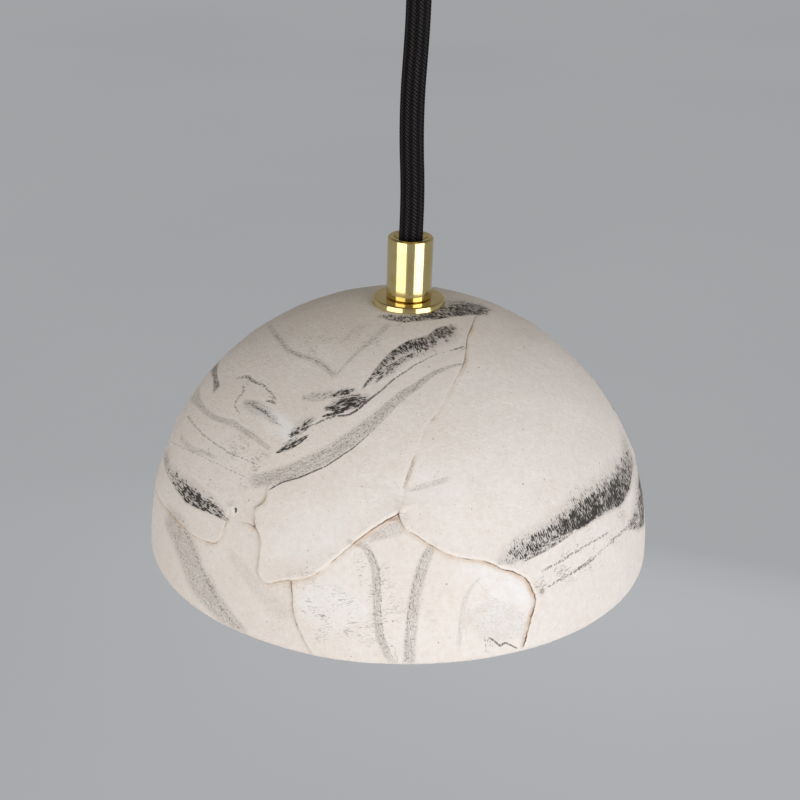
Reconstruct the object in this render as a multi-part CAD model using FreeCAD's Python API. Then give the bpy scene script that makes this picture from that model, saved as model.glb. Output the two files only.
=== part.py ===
# Dome pendant light: a slab-built ceramic dome that hangs on a braided cord from a brass ceiling rose.
# Millimetres, +Z up. The origin is on the ceiling plane, at the middle of the ceiling bracket's upper face.
import FreeCAD, Part
import math
import os
from FreeCAD import Vector

# Cord
CORD_DIAMETER = 6.5
CORD_CLEARANCE = 0.35  # round the cord in every bore that it passes
CORD_GAP = 0.3  # between two stretches of cord that move apart
CORD_DROP = 67.6  # from the rose grip's mouth to the dome grip's mouth
CORD_ENTRY = 3.0  # how far the hanging stretch goes into the dome grip
BEND_LENGTH = 4.0  # straight length of the short stretch that flexes under the rose
CORE_DIAMETER = 1.8  # one insulated conductor
CORE_OFFSET = 1.5  # conductor from the cord's middle
ARC_SHARE = 0.45  # of the shorter run beside a bend, which its arc takes up
STRIP_BACK = 1.0  # cord sheath that stands past the tube it leaves

# Threaded tubes, nuts and washers
TUBE_WALL = 1.4
THREAD_CLEARANCE = 0.08
TUBE_SPARE = 2.0  # tube that stands past its lock nut
NUT_WALL = 2.0  # from thread to flat
NUT_HEIGHT = 3.5
SLIM_NUT_HEIGHT = 2.0
NUT_CHAMFER = 0.6
STEEL_WASHER_MARGIN = 1.6  # past the nut's corners
STEEL_WASHER_THICKNESS = 1.0
RUBBER_WASHER_MARGIN = 1.0  # past the steel washer
RUBBER_WASHER_THICKNESS = 1.5
TAG_THICKNESS = 0.8
TAG_WIDTH = 4.0
EARTH_CLEARANCE = 0.4  # between the slim nut and the earth conductor

# Cord grips, one under the rose and one on the dome
GRIP_LENGTH = 18.0
GRIP_WALL = 1.42  # outside the tube's thread
GRIP_SOCKET = 8.0  # depth of the threaded socket
GRIP_END_CHAMFER = 0.4
GRIP_FOOT_CHAMFER = 0.25
GRIP_FLARE = 0.7  # bell mouth that the cord swings in
GRUB_RADIUS = 2.0
GRUB_DEPTH = 6.0  # from the mouth to the grub screw's axis
GRUB_RECESS = 0.3
DRIVER_SLOT = 0.6  # width of every screwdriver slot
DRIVER_SLOT_DEPTH = 0.7
FLANGE_LEDGE = 4.0  # flange outside the grip
FLANGE_THICKNESS = 1.9
FLANGE_TOP_CHAMFER = 0.3
FLANGE_TAPER = 0.25  # the edge leans in towards the top
FLANGE_FOOT_CHAMFER = 0.25

# Ceramic dome
DOME_RADIUS = 75.0
DOME_SEAT_HEIGHT = 73.3  # from the rim to the pressed seat at the crown
DOME_WALL = 5.0
DOME_PAD_MARGIN = 1.2  # pressed seat outside the flange or washer
DOME_HOLE_CLEARANCE = 0.6
RIM_ROUND = 0.9

# Ceiling rose and its bracket
ROSE_RADIUS = 45.0
ROSE_HEIGHT = 25.0
ROSE_WALL = 1.5
ROSE_CORNER = 6.0
ROSE_LIP = 0.6  # edge that meets the ceiling, rounded
ROSE_GAP = 0.5  # between the rose and the bracket inside it
STRAP_WIDTH = 16.0
STRAP_THICKNESS = 1.5
STRAP_BEND = 1.35  # outer radius where a lug is bent down
LUG_LENGTH = 13.0
MOUNT_SPACING = 54.0  # between the two ceiling screw slots
MOUNT_SLOT_LENGTH = 10.0
MOUNT_SLOT_RADIUS = 2.3
STRAP_HOLE_RADIUS = 5.25
SIDE_SCREW_RADIUS = 2.0
SIDE_SCREW_DEPTH = 8.0  # from the ceiling to the screw's axis
SIDE_SCREW_INSIDE = 2.0  # screw that stands inside the lug
SIDE_SCREW_CLEARANCE = 0.3
SIDE_HEAD_RADIUS = 3.6
SIDE_HEAD_THICKNESS = 2.6
SIDE_HEAD_ROUND = 0.8
SIDE_HEAD_GAP = 0.1

# Terminal block in the rose
BLOCK_LENGTH = 30.0
BLOCK_DEPTH = 15.0
BLOCK_HEIGHT = 13.5
BLOCK_PITCH = 9.0
BLOCK_STANDOFF = 14.0  # from the cord's axis to the block
BLOCK_ENTRY_RADIUS = 1.9
BLOCK_ENTRY_DEPTH = 4.0  # from the block's top to a conductor
BLOCK_NOTCH_WIDTH = 1.6  # between two ways
BLOCK_NOTCH_DEPTH = 3.2
BLOCK_EDGE = 1.0
CORE_IN_BLOCK = 4.5  # conductor inside the block
CORE_LEAD = 1.0  # straight conductor before the block
BLOCK_SCREW_RADIUS = 1.5
BLOCK_SCREW_INSET = 4.0
BLOCK_SCREW_RECESS = 0.6

# Lampholder
HOLDER_RADIUS = 14.0
HOLDER_MOUTH_RADIUS = 12.4
HOLDER_THREAD = 6.0  # depth of cap on the threaded tube
HOLDER_BOSS_WALL = 4.0  # cap's top outside the tube
CAP_BODY = 12.0  # cap that shows above the skirt
CAP_SHOULDER = 5.0  # radius of the cap's rounded shoulder
CAP_SPIGOT = 7.0  # cap that screws into the skirt
SPIGOT_WALL = 1.8
SKIRT_WALL = 2.25
SKIRT_CLEARANCE = 0.15
SKIRT_RIBS = 24
SKIRT_RIB_RADIUS = 0.7
TUBE_IN_CAP = 4.0  # tube that stands into the cap for the earth tag
INSERT_THICKNESS = 3.0
INSERT_RING = 2.5  # collar that centres the screw shell
SHELL_CLEARANCE = 0.3
SHELL_WALL = 0.4
SHELL_RIDGE_ROUND = 0.8  # radius of the screw ridge's section
SHELL_RIDGE_DEPTH = 0.65  # how far the ridge stands into the shell
SHELL_EYE = 1.5  # room round the centre contact
SHELL_SHORT = 3.0  # shell ends this far inside the skirt's mouth
CONTACT_WIDTH = 3.6
CONTACT_THICKNESS = 0.4
CONTACT_REACH = 2.0  # leaf spring stands this far off the insert
CONTACT_GAP = 0.3
POST_SIZE = 4.4
POST_HEIGHT = 3.2
POST_OFFSET = 6.2
POST_BORE = 1.1
POST_SCREW_RADIUS = 1.0
POST_SCREW_STAND = 0.4  # screw that stands out of its post
CORE_STRAIGHT_SHARE = 0.38  # of the room over the posts, where a conductor still runs straight down
CORE_POST_SHARE = 0.3  # of that room, where it has turned down into its post
EARTH_DIP = 2.43  # earth conductor's turn below the cord's end

# Bulb, with an Edison cap of 14 mm
LAMP_CAP_RADIUS = 6.9
LAMP_CAP_LENGTH = 21.0  # from the contact to the housing
LAMP_THREAD_PITCH = 2.822  # nine turns to the inch
LAMP_THREAD_DEPTH = 0.75  # from the ridge's crest to the cap's core
LAMP_THREAD_ROUND = 0.9  # radius of the ridge's section
LAMP_THREAD_END = 1.2  # plain cap above and below the ridge
LAMP_CONTACT_RADIUS = 2.2
LAMP_CONTACT_HEIGHT = 1.2
LAMP_INSULATOR_HEIGHT = 3.6
BULB_RADIUS = 22.5
BULB_CENTRE = 24.0  # below the lampholder's mouth
BULB_SEAM = 6.6  # from the globe's middle up to the housing
BULB_NECK = 8.2  # housing's radius at the cap
HOUSING_BULGE = 1.2  # how far the housing's flare swells out and up
GLOBE_WALL = 1.2
BOARD_MARGIN = 3.0
BOARD_THICKNESS = 1.6
LED_COUNT = 8
LED_SIZE = 3.0
LED_HEIGHT = 0.8
LED_INSET = 3.0  # from the board's edge to the chips
MOUTH_GAP = 0.4  # between the lampholder and the bulb's housing

# How far a cutting shape stands past what it cuts
PAST = 1.0

# Places nearer than this count as one, and a bend of fewer radians as straight
SAME_PLACE = 1e-6
STRAIGHT = 1e-4

# Radii that follow from the cord
cord_radius = CORD_DIAMETER / 2
bore_radius = cord_radius + CORD_CLEARANCE
tube_radius = bore_radius + TUBE_WALL
thread_radius = tube_radius + THREAD_CLEARANCE
grip_radius = thread_radius + GRIP_WALL
flange_radius = grip_radius + FLANGE_LEDGE
nut_flat = tube_radius + NUT_WALL
nut_corner = nut_flat / math.cos(math.pi / 6)
steel_radius = nut_corner + STEEL_WASHER_MARGIN
rubber_radius = steel_radius + RUBBER_WASHER_MARGIN

# Levels, from the ceiling down to the dome's rim
rose_floor = -ROSE_HEIGHT
rose_mouth = rose_floor - GRIP_LENGTH
dome_mouth = rose_mouth - CORD_DROP
flange_top = dome_mouth - GRIP_LENGTH
seat = flange_top - FLANGE_THICKNESS
rim = seat - DOME_SEAT_HEIGHT
crown_inside = seat - DOME_WALL
rubber_foot = crown_inside - RUBBER_WASHER_THICKNESS
steel_foot = rubber_foot - STEEL_WASHER_THICKNESS
holder_top = steel_foot - NUT_HEIGHT

# Levels in the lampholder and the bulb
cap_inside = holder_top - HOLDER_THREAD
tube_foot = cap_inside - TUBE_IN_CAP
sheath_foot = tube_foot - STRIP_BACK
skirt_top = holder_top - CAP_BODY
insert_top = skirt_top - CAP_SPIGOT
insert_foot = insert_top - INSERT_THICKNESS
lamp_tip = insert_foot - SHELL_WALL - CONTACT_REACH - CONTACT_GAP
housing_top = lamp_tip - LAMP_CAP_LENGTH
holder_mouth = housing_top + MOUTH_GAP
globe_centre = holder_mouth - BULB_CENTRE
globe_seam = globe_centre + BULB_SEAM
lamp_cap_top = lamp_tip - LAMP_CONTACT_HEIGHT - LAMP_INSULATOR_HEIGHT
lamp_ridge_foot = housing_top + LAMP_THREAD_END + LAMP_THREAD_ROUND
lamp_ridge_top = lamp_cap_top - LAMP_THREAD_END - LAMP_THREAD_ROUND

# Radii in the lampholder
spigot_radius = HOLDER_RADIUS - SKIRT_WALL - SKIRT_CLEARANCE
cavity_radius = spigot_radius - SPIGOT_WALL
recess_radius = HOLDER_RADIUS - SKIRT_WALL
shell_inside = LAMP_CAP_RADIUS + SHELL_CLEARANCE
shell_radius = shell_inside + SHELL_WALL
skirt_bore = shell_radius + SKIRT_CLEARANCE + INSERT_RING / 2
lamp_core = LAMP_CAP_RADIUS - LAMP_THREAD_DEPTH
seam_radius = math.sqrt(BULB_RADIUS**2 - BULB_SEAM**2)

# The hanging cord's set, as (sideways, depth under the rose grip's mouth): a slow bow and a slight return
CORD_SET = [
    (-0.35, 17.0),
    (-0.85, 28.5),
    (-0.70, 41.0),
    (0.05, 53.0),
    (0.12, 63.0),
]

UP = Vector(0, 0, 1)
BACK = Vector(0, 1, 0)
RIGHT = Vector(1, 0, 0)


def point(radius, height):
    """A point of a turned profile."""
    return Vector(radius, 0, height)


def turned(*steps):
    """A solid of revolution. A step is a corner (radius, height), or an arc as two corners (through, end)."""
    here = point(*steps[0])
    edges = []
    for step in [*steps[1:], steps[0]]:
        if isinstance(step[0], tuple):
            end = point(*step[1])
            edges.append(Part.Arc(here, point(*step[0]), end).toShape())
        else:
            end = point(*step)
            if end.isEqual(here, SAME_PLACE):
                continue
            edges.append(Part.LineSegment(here, end).toShape())
        here = end
    profile = Part.Face(Part.Wire(edges))
    return profile.revolve(Vector(0, 0, 0), UP, 360)


def disc(radius, foot, top):
    """A plain round bar on the axis."""
    return Part.makeCylinder(radius, top - foot, Vector(0, 0, foot))


def ring(outer, inner, foot, top):
    """A plain tube on the axis."""
    return turned((inner, foot), (outer, foot), (outer, top), (inner, top))


def bar(radius, start, direction, length):
    """A round bar from a point along a direction."""
    return Part.makeCylinder(radius, length, start, direction)


def block(x0, x1, y0, y1, z0, z1):
    """A box between two corners."""
    return Part.makeBox(x1 - x0, y1 - y0, z1 - z0, Vector(x0, y0, z0))


def hex_nut(foot, height):
    """A hexagon nut on the axis, with a flat to the front and back and both faces chamfered."""
    corners = []
    for i in range(7):
        angle = math.radians(60 * i)
        corners.append(Vector(nut_corner * math.cos(angle), nut_corner * math.sin(angle), foot))
    body = Part.Face(Part.makePolygon(corners)).extrude(UP * height)
    top = foot + height
    slope = NUT_CHAMFER * math.tan(math.radians(30))
    dished = turned(
        (thread_radius, foot),
        (nut_corner - NUT_CHAMFER, foot),
        (nut_corner, foot + slope),
        (nut_corner, top - slope),
        (nut_corner - NUT_CHAMFER, top),
        (thread_radius, top),
    )
    return body.common(dished)


def corner_arc(before, corner, after):
    """Start, middle and end of the widest arc that rounds a corner of a cord's route."""
    back = before - corner
    ahead = after - corner
    turn = math.pi - back.getAngle(ahead)
    tangent = ARC_SHARE * min(back.Length, ahead.Length)
    radius = tangent / math.tan(turn / 2)
    inward = (back.normalize() + ahead.normalize()).normalize()
    middle = corner + inward * (radius / math.cos(turn / 2) - radius)
    return corner + back * tangent, middle, corner + ahead * tangent, radius


def without_straight_corners(route):
    """A route without the points that lie in line with their neighbours."""
    kept = [route[0]]
    for here, after in zip(route[1:-1], route[2:]):
        if (here - kept[-1]).getAngle(after - here) > STRAIGHT:
            kept.append(here)
    return [*kept, route[-1]]


def routed_tube(route, radius, name):
    """A round tube along straight runs joined by tangent arcs. Prints its radii and its expected volume."""
    route = without_straight_corners(route)
    edges = []
    radii = []
    here = route[0]
    for i in range(1, len(route) - 1):
        start, middle, end, bend = corner_arc(route[i - 1], route[i], route[i + 1])
        edges.append(Part.LineSegment(here, start).toShape())
        edges.append(Part.Arc(start, middle, end).toShape())
        radii.append(round(bend, 1))
        here = end
    edges.append(Part.LineSegment(here, route[-1]).toShape())
    path = Part.Wire(edges)
    section = Part.Wire(Part.makeCircle(radius, route[0], route[1] - route[0]))
    tube = path.makePipeShell([section], True, False)
    expected = math.pi * radius**2 * path.Length
    print(f"{name}: radii {radii} mm, length {path.Length:.1f} mm")
    print(f"{name}: volume {tube.Volume:.1f} of {expected:.1f} mm3")
    return tube


def screw_ridge(path_radius, rounding, foot, top):
    """A right-handed rolled ridge, round in section, that winds up the axis at the lamp's pitch."""
    helix = Part.makeHelix(LAMP_THREAD_PITCH, top - foot, path_radius)
    way = Vector(0, 2 * math.pi * path_radius, LAMP_THREAD_PITCH)
    section = Part.Wire(Part.makeCircle(rounding, point(path_radius, 0), way))
    ridge = Part.Wire(helix.Edges).makePipeShell([section], True, True)
    ridge.translate(UP * foot)
    return ridge


# Cord grips and what holds them


def cord_grip():
    """A turned brass grip with its mouth at the origin, facing up, and a threaded socket at its foot."""
    foot = -GRIP_LENGTH
    body = turned(
        (bore_radius + GRIP_FLARE, 0),
        (grip_radius - GRIP_END_CHAMFER, 0),
        (grip_radius, -GRIP_END_CHAMFER),
        (grip_radius, foot + GRIP_FOOT_CHAMFER),
        (grip_radius - GRIP_FOOT_CHAMFER, foot),
        (thread_radius, foot),
        (thread_radius, foot + GRIP_SOCKET),
        (bore_radius, foot + GRIP_SOCKET),
        (bore_radius, -GRIP_FLARE),
    )
    return body.cut(bar(GRUB_RADIUS, Vector(0, 0, -GRUB_DEPTH), BACK, 2 * grip_radius))


def grub_screw():
    """The slotted screw in the back of a grip that presses on the cord."""
    tip = cord_radius
    head = grip_radius - GRUB_RECESS
    body = bar(GRUB_RADIUS - THREAD_CLEARANCE, Vector(0, tip, -GRUB_DEPTH), BACK, head - tip)
    slot = block(
        -GRUB_RADIUS, GRUB_RADIUS, head - DRIVER_SLOT_DEPTH, head + PAST,
        -GRUB_DEPTH - DRIVER_SLOT / 2, -GRUB_DEPTH + DRIVER_SLOT / 2,
    )
    return body.cut(slot)


def upright(shape):
    """A grip piece moved to the dome, mouth up."""
    moved = shape.copy()
    moved.translate(Vector(0, 0, dome_mouth))
    return moved


def inverted(shape):
    """A grip piece moved to the rose, mouth down, with its screw still at the back."""
    moved = shape.copy()
    moved.rotate(Vector(0, 0, 0), BACK, 180)
    moved.translate(Vector(0, 0, rose_mouth))
    return moved


def grip_flange():
    """The loose brass collar between the grip and the dome."""
    return turned(
        (thread_radius, seat),
        (flange_radius - FLANGE_FOOT_CHAMFER, seat),
        (flange_radius, seat + FLANGE_FOOT_CHAMFER),
        (flange_radius - FLANGE_TAPER, flange_top - FLANGE_TOP_CHAMFER),
        (flange_radius - FLANGE_TAPER - FLANGE_TOP_CHAMFER, flange_top),
        (thread_radius, flange_top),
    )


# Ceramic dome


def dome_arc(radius, height, pad):
    """Rim, middle and pad corner of a meridian arc that is upright at the rim and ends at the pad."""
    centre = (radius**2 - pad**2 - height**2) / (2 * (radius - pad))
    reach = radius - centre
    half = math.atan2(height, pad - centre) / 2
    middle = (centre + reach * math.cos(half), rim + reach * math.sin(half))
    return (radius, rim), middle, (pad, rim + height)


def ceramic_dome():
    """The dome, with a pressed seat inside and outside its crown and a rounded rim."""
    hole = tube_radius + DOME_HOLE_CLEARANCE
    outer_rim, outer_middle, outer_pad = dome_arc(
        DOME_RADIUS, DOME_SEAT_HEIGHT, flange_radius + DOME_PAD_MARGIN
    )
    inner_rim, inner_middle, inner_pad = dome_arc(
        DOME_RADIUS - DOME_WALL, DOME_SEAT_HEIGHT - DOME_WALL, rubber_radius + DOME_PAD_MARGIN
    )
    body = turned(
        inner_rim,
        outer_rim,
        (outer_middle, outer_pad),
        (hole, seat),
        (hole, crown_inside),
        inner_pad,
        (inner_middle, inner_rim),
    )
    edges = [e for e in body.Edges if len(e.Vertexes) == 1 and abs(e.CenterOfMass.z - rim) < SAME_PLACE]
    return body.makeFillet(min(RIM_ROUND, 0.4 * DOME_WALL), edges)


# Ceiling rose


def side_screw_axis(side):
    """Where a side screw's axis meets the rose's axis plane, and which way it points."""
    return Vector(0, 0, -SIDE_SCREW_DEPTH), RIGHT * side


def lug_face():
    """Outer face of the bracket's lugs, as far out as the strap's corners allow."""
    inside = ROSE_RADIUS - ROSE_WALL - ROSE_GAP
    return math.sqrt(inside**2 - (STRAP_WIDTH / 2) ** 2)


def ceiling_rose():
    """A spun brass cup with a slot at each side, open to the ceiling, that drops off its two side screws."""
    inner = ROSE_RADIUS - ROSE_WALL
    inner_corner = ROSE_CORNER - ROSE_WALL
    centre = (ROSE_RADIUS - ROSE_CORNER, rose_floor + ROSE_CORNER)
    diagonal = math.sqrt(0.5)
    cup = turned(
        (thread_radius, rose_floor),
        (centre[0], rose_floor),
        (
            (centre[0] + ROSE_CORNER * diagonal, centre[1] - ROSE_CORNER * diagonal),
            (ROSE_RADIUS, centre[1]),
        ),
        (ROSE_RADIUS, -ROSE_LIP),
        (ROSE_RADIUS - ROSE_LIP, 0),
        (inner, 0),
        (inner, centre[1]),
        (
            (centre[0] + inner_corner * diagonal, centre[1] - inner_corner * diagonal),
            (centre[0], rose_floor + ROSE_WALL),
        ),
        (thread_radius, rose_floor + ROSE_WALL),
    )
    half = SIDE_SCREW_RADIUS + SIDE_SCREW_CLEARANCE
    for side in (-1, 1):
        start, way = side_screw_axis(side)
        cup = cup.cut(bar(half, start, way, 2 * ROSE_RADIUS))
        far = 2 * ROSE_RADIUS * side
        cup = cup.cut(block(min(0, far), max(0, far), -half, half, -SIDE_SCREW_DEPTH, PAST))
    return cup


def ceiling_bracket():
    """A bent steel strap with two screw slots, a wiring hole and a tapped lug at each end."""
    face = lug_face()
    half = STRAP_WIDTH / 2
    strap = block(-face, face, -half, half, -STRAP_THICKNESS, 0)
    for side in (-1, 1):
        inner = side * (face - STRAP_THICKNESS)
        outer = side * face
        lug = block(min(inner, outer), max(inner, outer), -half, half, -LUG_LENGTH, 0)
        start, way = side_screw_axis(side)
        strap = strap.fuse(lug).cut(bar(SIDE_SCREW_RADIUS + THREAD_CLEARANCE, start, way, 2 * ROSE_RADIUS))
    run = MOUNT_SLOT_LENGTH / 2 - MOUNT_SLOT_RADIUS
    for side in (-1, 1):
        middle = side * MOUNT_SPACING / 2
        slot = block(
            middle - run, middle + run, -MOUNT_SLOT_RADIUS, MOUNT_SLOT_RADIUS, -STRAP_THICKNESS - PAST, PAST
        )
        for end in (middle - run, middle + run):
            foot = Vector(end, 0, -STRAP_THICKNESS - PAST)
            slot = slot.fuse(bar(MOUNT_SLOT_RADIUS, foot, UP, STRAP_THICKNESS + 2 * PAST))
        strap = strap.cut(slot)
    strap = strap.cut(disc(STRAP_HOLE_RADIUS, -STRAP_THICKNESS - PAST, PAST)).removeSplitter()
    bends = [
        e for e in strap.Edges
        if abs(abs(e.CenterOfMass.x) - face) < SAME_PLACE and abs(e.CenterOfMass.z) < SAME_PLACE
    ]
    return strap.makeFillet(min(STRAP_BEND, 0.9 * STRAP_THICKNESS), bends)


def rose_screws():
    """Two slotted cheese-head screws through the rose's slots into the bracket's lugs."""
    screws = []
    for side in (-1, 1):
        start, way = side_screw_axis(side)
        tip = lug_face() - STRAP_THICKNESS - SIDE_SCREW_INSIDE
        seat_face = ROSE_RADIUS + SIDE_HEAD_GAP
        shank = bar(SIDE_SCREW_RADIUS, start + way * tip, way, seat_face - tip)
        head = bar(SIDE_HEAD_RADIUS, start + way * seat_face, way, SIDE_HEAD_THICKNESS)
        head_face = seat_face + SIDE_HEAD_THICKNESS
        rounded = [e for e in head.Edges if abs(abs(e.CenterOfMass.x) - head_face) < SAME_PLACE]
        head = head.makeFillet(min(SIDE_HEAD_ROUND, 0.5 * SIDE_HEAD_THICKNESS), rounded)
        outer = side * head_face
        slot_foot = side * (head_face - DRIVER_SLOT_DEPTH)
        slot = block(
            min(outer, slot_foot), max(outer, slot_foot), -SIDE_HEAD_RADIUS, SIDE_HEAD_RADIUS,
            -SIDE_SCREW_DEPTH - DRIVER_SLOT / 2, -SIDE_SCREW_DEPTH + DRIVER_SLOT / 2,
        )
        screws.append(shank.fuse(head).cut(slot).removeSplitter())
    return Part.makeCompound(screws)


# Threaded tube, nut and wiring in the rose

rose_inside = rose_floor + ROSE_WALL
rose_tube_top = rose_inside + NUT_HEIGHT + TUBE_SPARE
rose_sheath_top = rose_tube_top + STRIP_BACK
rose_tube_foot = rose_floor - GRIP_SOCKET + THREAD_CLEARANCE
block_top = rose_inside + BLOCK_HEIGHT
entry_level = block_top - BLOCK_ENTRY_DEPTH
ways = (-1, 0, 1)


def terminal_block():
    """A moulded three-way connector that lies on the rose's floor."""
    y0 = BLOCK_STANDOFF
    y1 = y0 + BLOCK_DEPTH
    body = block(-BLOCK_LENGTH / 2, BLOCK_LENGTH / 2, y0, y1, rose_inside, block_top)
    body = body.makeFillet(BLOCK_EDGE, [e for e in body.Edges if e.Vertexes[0].X == e.Vertexes[1].X])
    for way in ways:
        x = way * BLOCK_PITCH
        entry = bar(BLOCK_ENTRY_RADIUS, Vector(x, y0 - PAST, entry_level), BACK, BLOCK_DEPTH + 2 * PAST)
        body = body.cut(entry)
        for y in screw_rows():
            foot = Vector(x, y, entry_level)
            body = body.cut(bar(BLOCK_SCREW_RADIUS + THREAD_CLEARANCE, foot, UP, BLOCK_HEIGHT))
    half = BLOCK_NOTCH_WIDTH / 2
    notch_foot = block_top - BLOCK_NOTCH_DEPTH
    for side in (-1, 1):
        x = side * BLOCK_PITCH / 2
        body = body.cut(block(x - half, x + half, y0 - PAST, y1 + PAST, notch_foot, block_top + PAST))
    return body


def screw_rows():
    """Where the block's two rows of screws are, front to back."""
    return BLOCK_STANDOFF + BLOCK_SCREW_INSET, BLOCK_STANDOFF + BLOCK_DEPTH - BLOCK_SCREW_INSET


def terminal_block_screws():
    """Six slotted screws, sunk in the block, that pinch the conductors."""
    screws = []
    foot = entry_level + CORE_DIAMETER / 2
    top = block_top - BLOCK_SCREW_RECESS
    for way in ways:
        for y in screw_rows():
            x = way * BLOCK_PITCH
            screw = bar(BLOCK_SCREW_RADIUS, Vector(x, y, foot), UP, top - foot)
            slot = block(
                x - BLOCK_SCREW_RADIUS, x + BLOCK_SCREW_RADIUS, y - DRIVER_SLOT / 2, y + DRIVER_SLOT / 2,
                top - DRIVER_SLOT_DEPTH, top + PAST,
            )
            screws.append(screw.cut(slot))
    return Part.makeCompound(screws)


def core_start(way):
    """A conductor's place in the cord's section: three in a triangle, one to the back."""
    angle = math.radians(90 - 120 * way)
    return CORE_OFFSET * math.cos(angle), CORE_OFFSET * math.sin(angle)


def rose_core(way, name):
    """A conductor from the cord's top end over to its place in the terminal block."""
    x, y = core_start(way)
    end = way * BLOCK_PITCH
    route = [
        Vector(x, y, rose_sheath_top),
        Vector(x, y, entry_level),
        Vector(end, BLOCK_STANDOFF - CORE_LEAD, entry_level),
        Vector(end, BLOCK_STANDOFF + CORE_IN_BLOCK, entry_level),
    ]
    return routed_tube(route, CORE_DIAMETER / 2, name)


# Cord


def cord_upper_end():
    """The end of the cord that the rose grip clamps."""
    return disc(cord_radius, rose_mouth + cord_radius + CORD_GAP, rose_sheath_top)


def cord_bend():
    """The short stretch that flexes sideways in the rose grip's mouth, with a rounded top at its pivot."""
    straight = disc(cord_radius, rose_mouth - BEND_LENGTH, rose_mouth)
    return straight.fuse(ball(rose_mouth)).removeSplitter()


def ball(height):
    """A ball of the cord's own radius, round a pivot of the cord."""
    return Part.makeSphere(cord_radius, Vector(0, 0, height))


front_pivot = rose_mouth - BEND_LENGTH - CORD_GAP - cord_radius


def cord_drop():
    """The hanging cord, down into the dome grip's mouth, with a rounded top at its pivot."""
    route = [Vector(0, 0, front_pivot)]
    route += [Vector(x, 0, rose_mouth - depth) for x, depth in CORD_SET]
    route.append(Vector(0, 0, dome_mouth - CORD_ENTRY))
    tube = routed_tube(route, cord_radius, "cord_drop")
    return tube.fuse(ball(front_pivot)).removeSplitter()


def cord_lower_end():
    """The end of the cord that the dome grip clamps, down into the lampholder."""
    return disc(cord_radius, sheath_foot, dome_mouth - CORD_ENTRY - CORD_GAP)


# Lampholder


def lampholder_cap():
    """The moulded upper half, which screws onto the threaded tube and into the skirt."""
    boss = tube_radius + HOLDER_BOSS_WALL
    shoulder = min(CAP_SHOULDER, HOLDER_RADIUS - boss)
    diagonal = shoulder * math.sqrt(0.5)
    centre = (HOLDER_RADIUS - shoulder, holder_top - shoulder)
    return turned(
        (thread_radius, holder_top),
        (centre[0], holder_top),
        ((centre[0] + diagonal, centre[1] + diagonal), (HOLDER_RADIUS, centre[1])),
        (HOLDER_RADIUS, skirt_top),
        (spigot_radius, skirt_top),
        (spigot_radius, insert_top),
        (cavity_radius, insert_top),
        (cavity_radius, cap_inside),
        (thread_radius, cap_inside),
    )


def lampholder_skirt():
    """The moulded lower half, tapered to its mouth, with finger ribs round its upper part."""
    body = turned(
        (recess_radius, skirt_top),
        (HOLDER_RADIUS, skirt_top),
        (HOLDER_RADIUS, insert_foot),
        (HOLDER_MOUTH_RADIUS, holder_mouth),
        (skirt_bore, holder_mouth),
        (skirt_bore, insert_foot),
        (recess_radius, insert_foot),
    )
    for i in range(SKIRT_RIBS):
        angle = 2 * math.pi * i / SKIRT_RIBS
        foot = Vector(HOLDER_RADIUS * math.cos(angle), HOLDER_RADIUS * math.sin(angle), insert_foot)
        body = body.cut(bar(SKIRT_RIB_RADIUS, foot, UP, skirt_top - insert_foot - SKIRT_RIB_RADIUS))
    return body


def lampholder_insert():
    """The moulded disc that carries the contacts, clamped between the cap and the skirt."""
    outer = spigot_radius
    collar = shell_radius + INSERT_RING / 2
    body = turned(
        (0, insert_top),
        (outer, insert_top),
        (outer, insert_foot),
        (collar, insert_foot),
        (collar, insert_foot - INSERT_RING),
        (shell_radius + THREAD_CLEARANCE, insert_foot - INSERT_RING),
        (shell_radius + THREAD_CLEARANCE, insert_foot),
        (0, insert_foot),
    )
    return body


def screw_shell():
    """The brass shell that takes the lamp's cap, with a flange under the insert and a rolled ridge inside."""
    flange_hole = CONTACT_WIDTH / 2 + SHELL_EYE
    top = insert_foot
    foot = holder_mouth + SHELL_SHORT
    shell = turned(
        (flange_hole, top),
        (shell_radius, top),
        (shell_radius, foot),
        (shell_inside, foot),
        (shell_inside, top - SHELL_WALL),
        (flange_hole, top - SHELL_WALL),
    )
    turns = math.ceil((foot + SHELL_RIDGE_ROUND - lamp_ridge_foot) / LAMP_THREAD_PITCH - 0.5) + 0.5
    ridge_foot = lamp_ridge_foot + turns * LAMP_THREAD_PITCH
    path_radius = shell_inside - SHELL_RIDGE_DEPTH + SHELL_RIDGE_ROUND
    ridge = screw_ridge(path_radius, SHELL_RIDGE_ROUND, ridge_foot, lamp_cap_top)
    return shell.fuse(ridge.common(disc(shell_radius, foot, top)))


def centre_contact():
    """A bent leaf spring on the insert that meets the lamp's contact."""
    reach = CONTACT_WIDTH / 2
    top = insert_foot
    foot = insert_foot - SHELL_WALL - CONTACT_REACH
    outline = [
        Vector(-reach, 0, top),
        Vector(reach, 0, top),
        Vector(reach, 0, top - CONTACT_THICKNESS),
        Vector(-reach + 2 * CONTACT_THICKNESS, 0, top - CONTACT_THICKNESS),
        Vector(-reach + CONTACT_THICKNESS, 0, foot + CONTACT_THICKNESS),
        Vector(reach, 0, foot + CONTACT_THICKNESS),
        Vector(reach, 0, foot),
        Vector(-reach, 0, foot),
    ]
    face = Part.Face(Part.makePolygon([*outline, outline[0]]))
    leaf = face.extrude(BACK * CONTACT_WIDTH)
    leaf.translate(BACK * (-CONTACT_WIDTH / 2))
    return leaf


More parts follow.
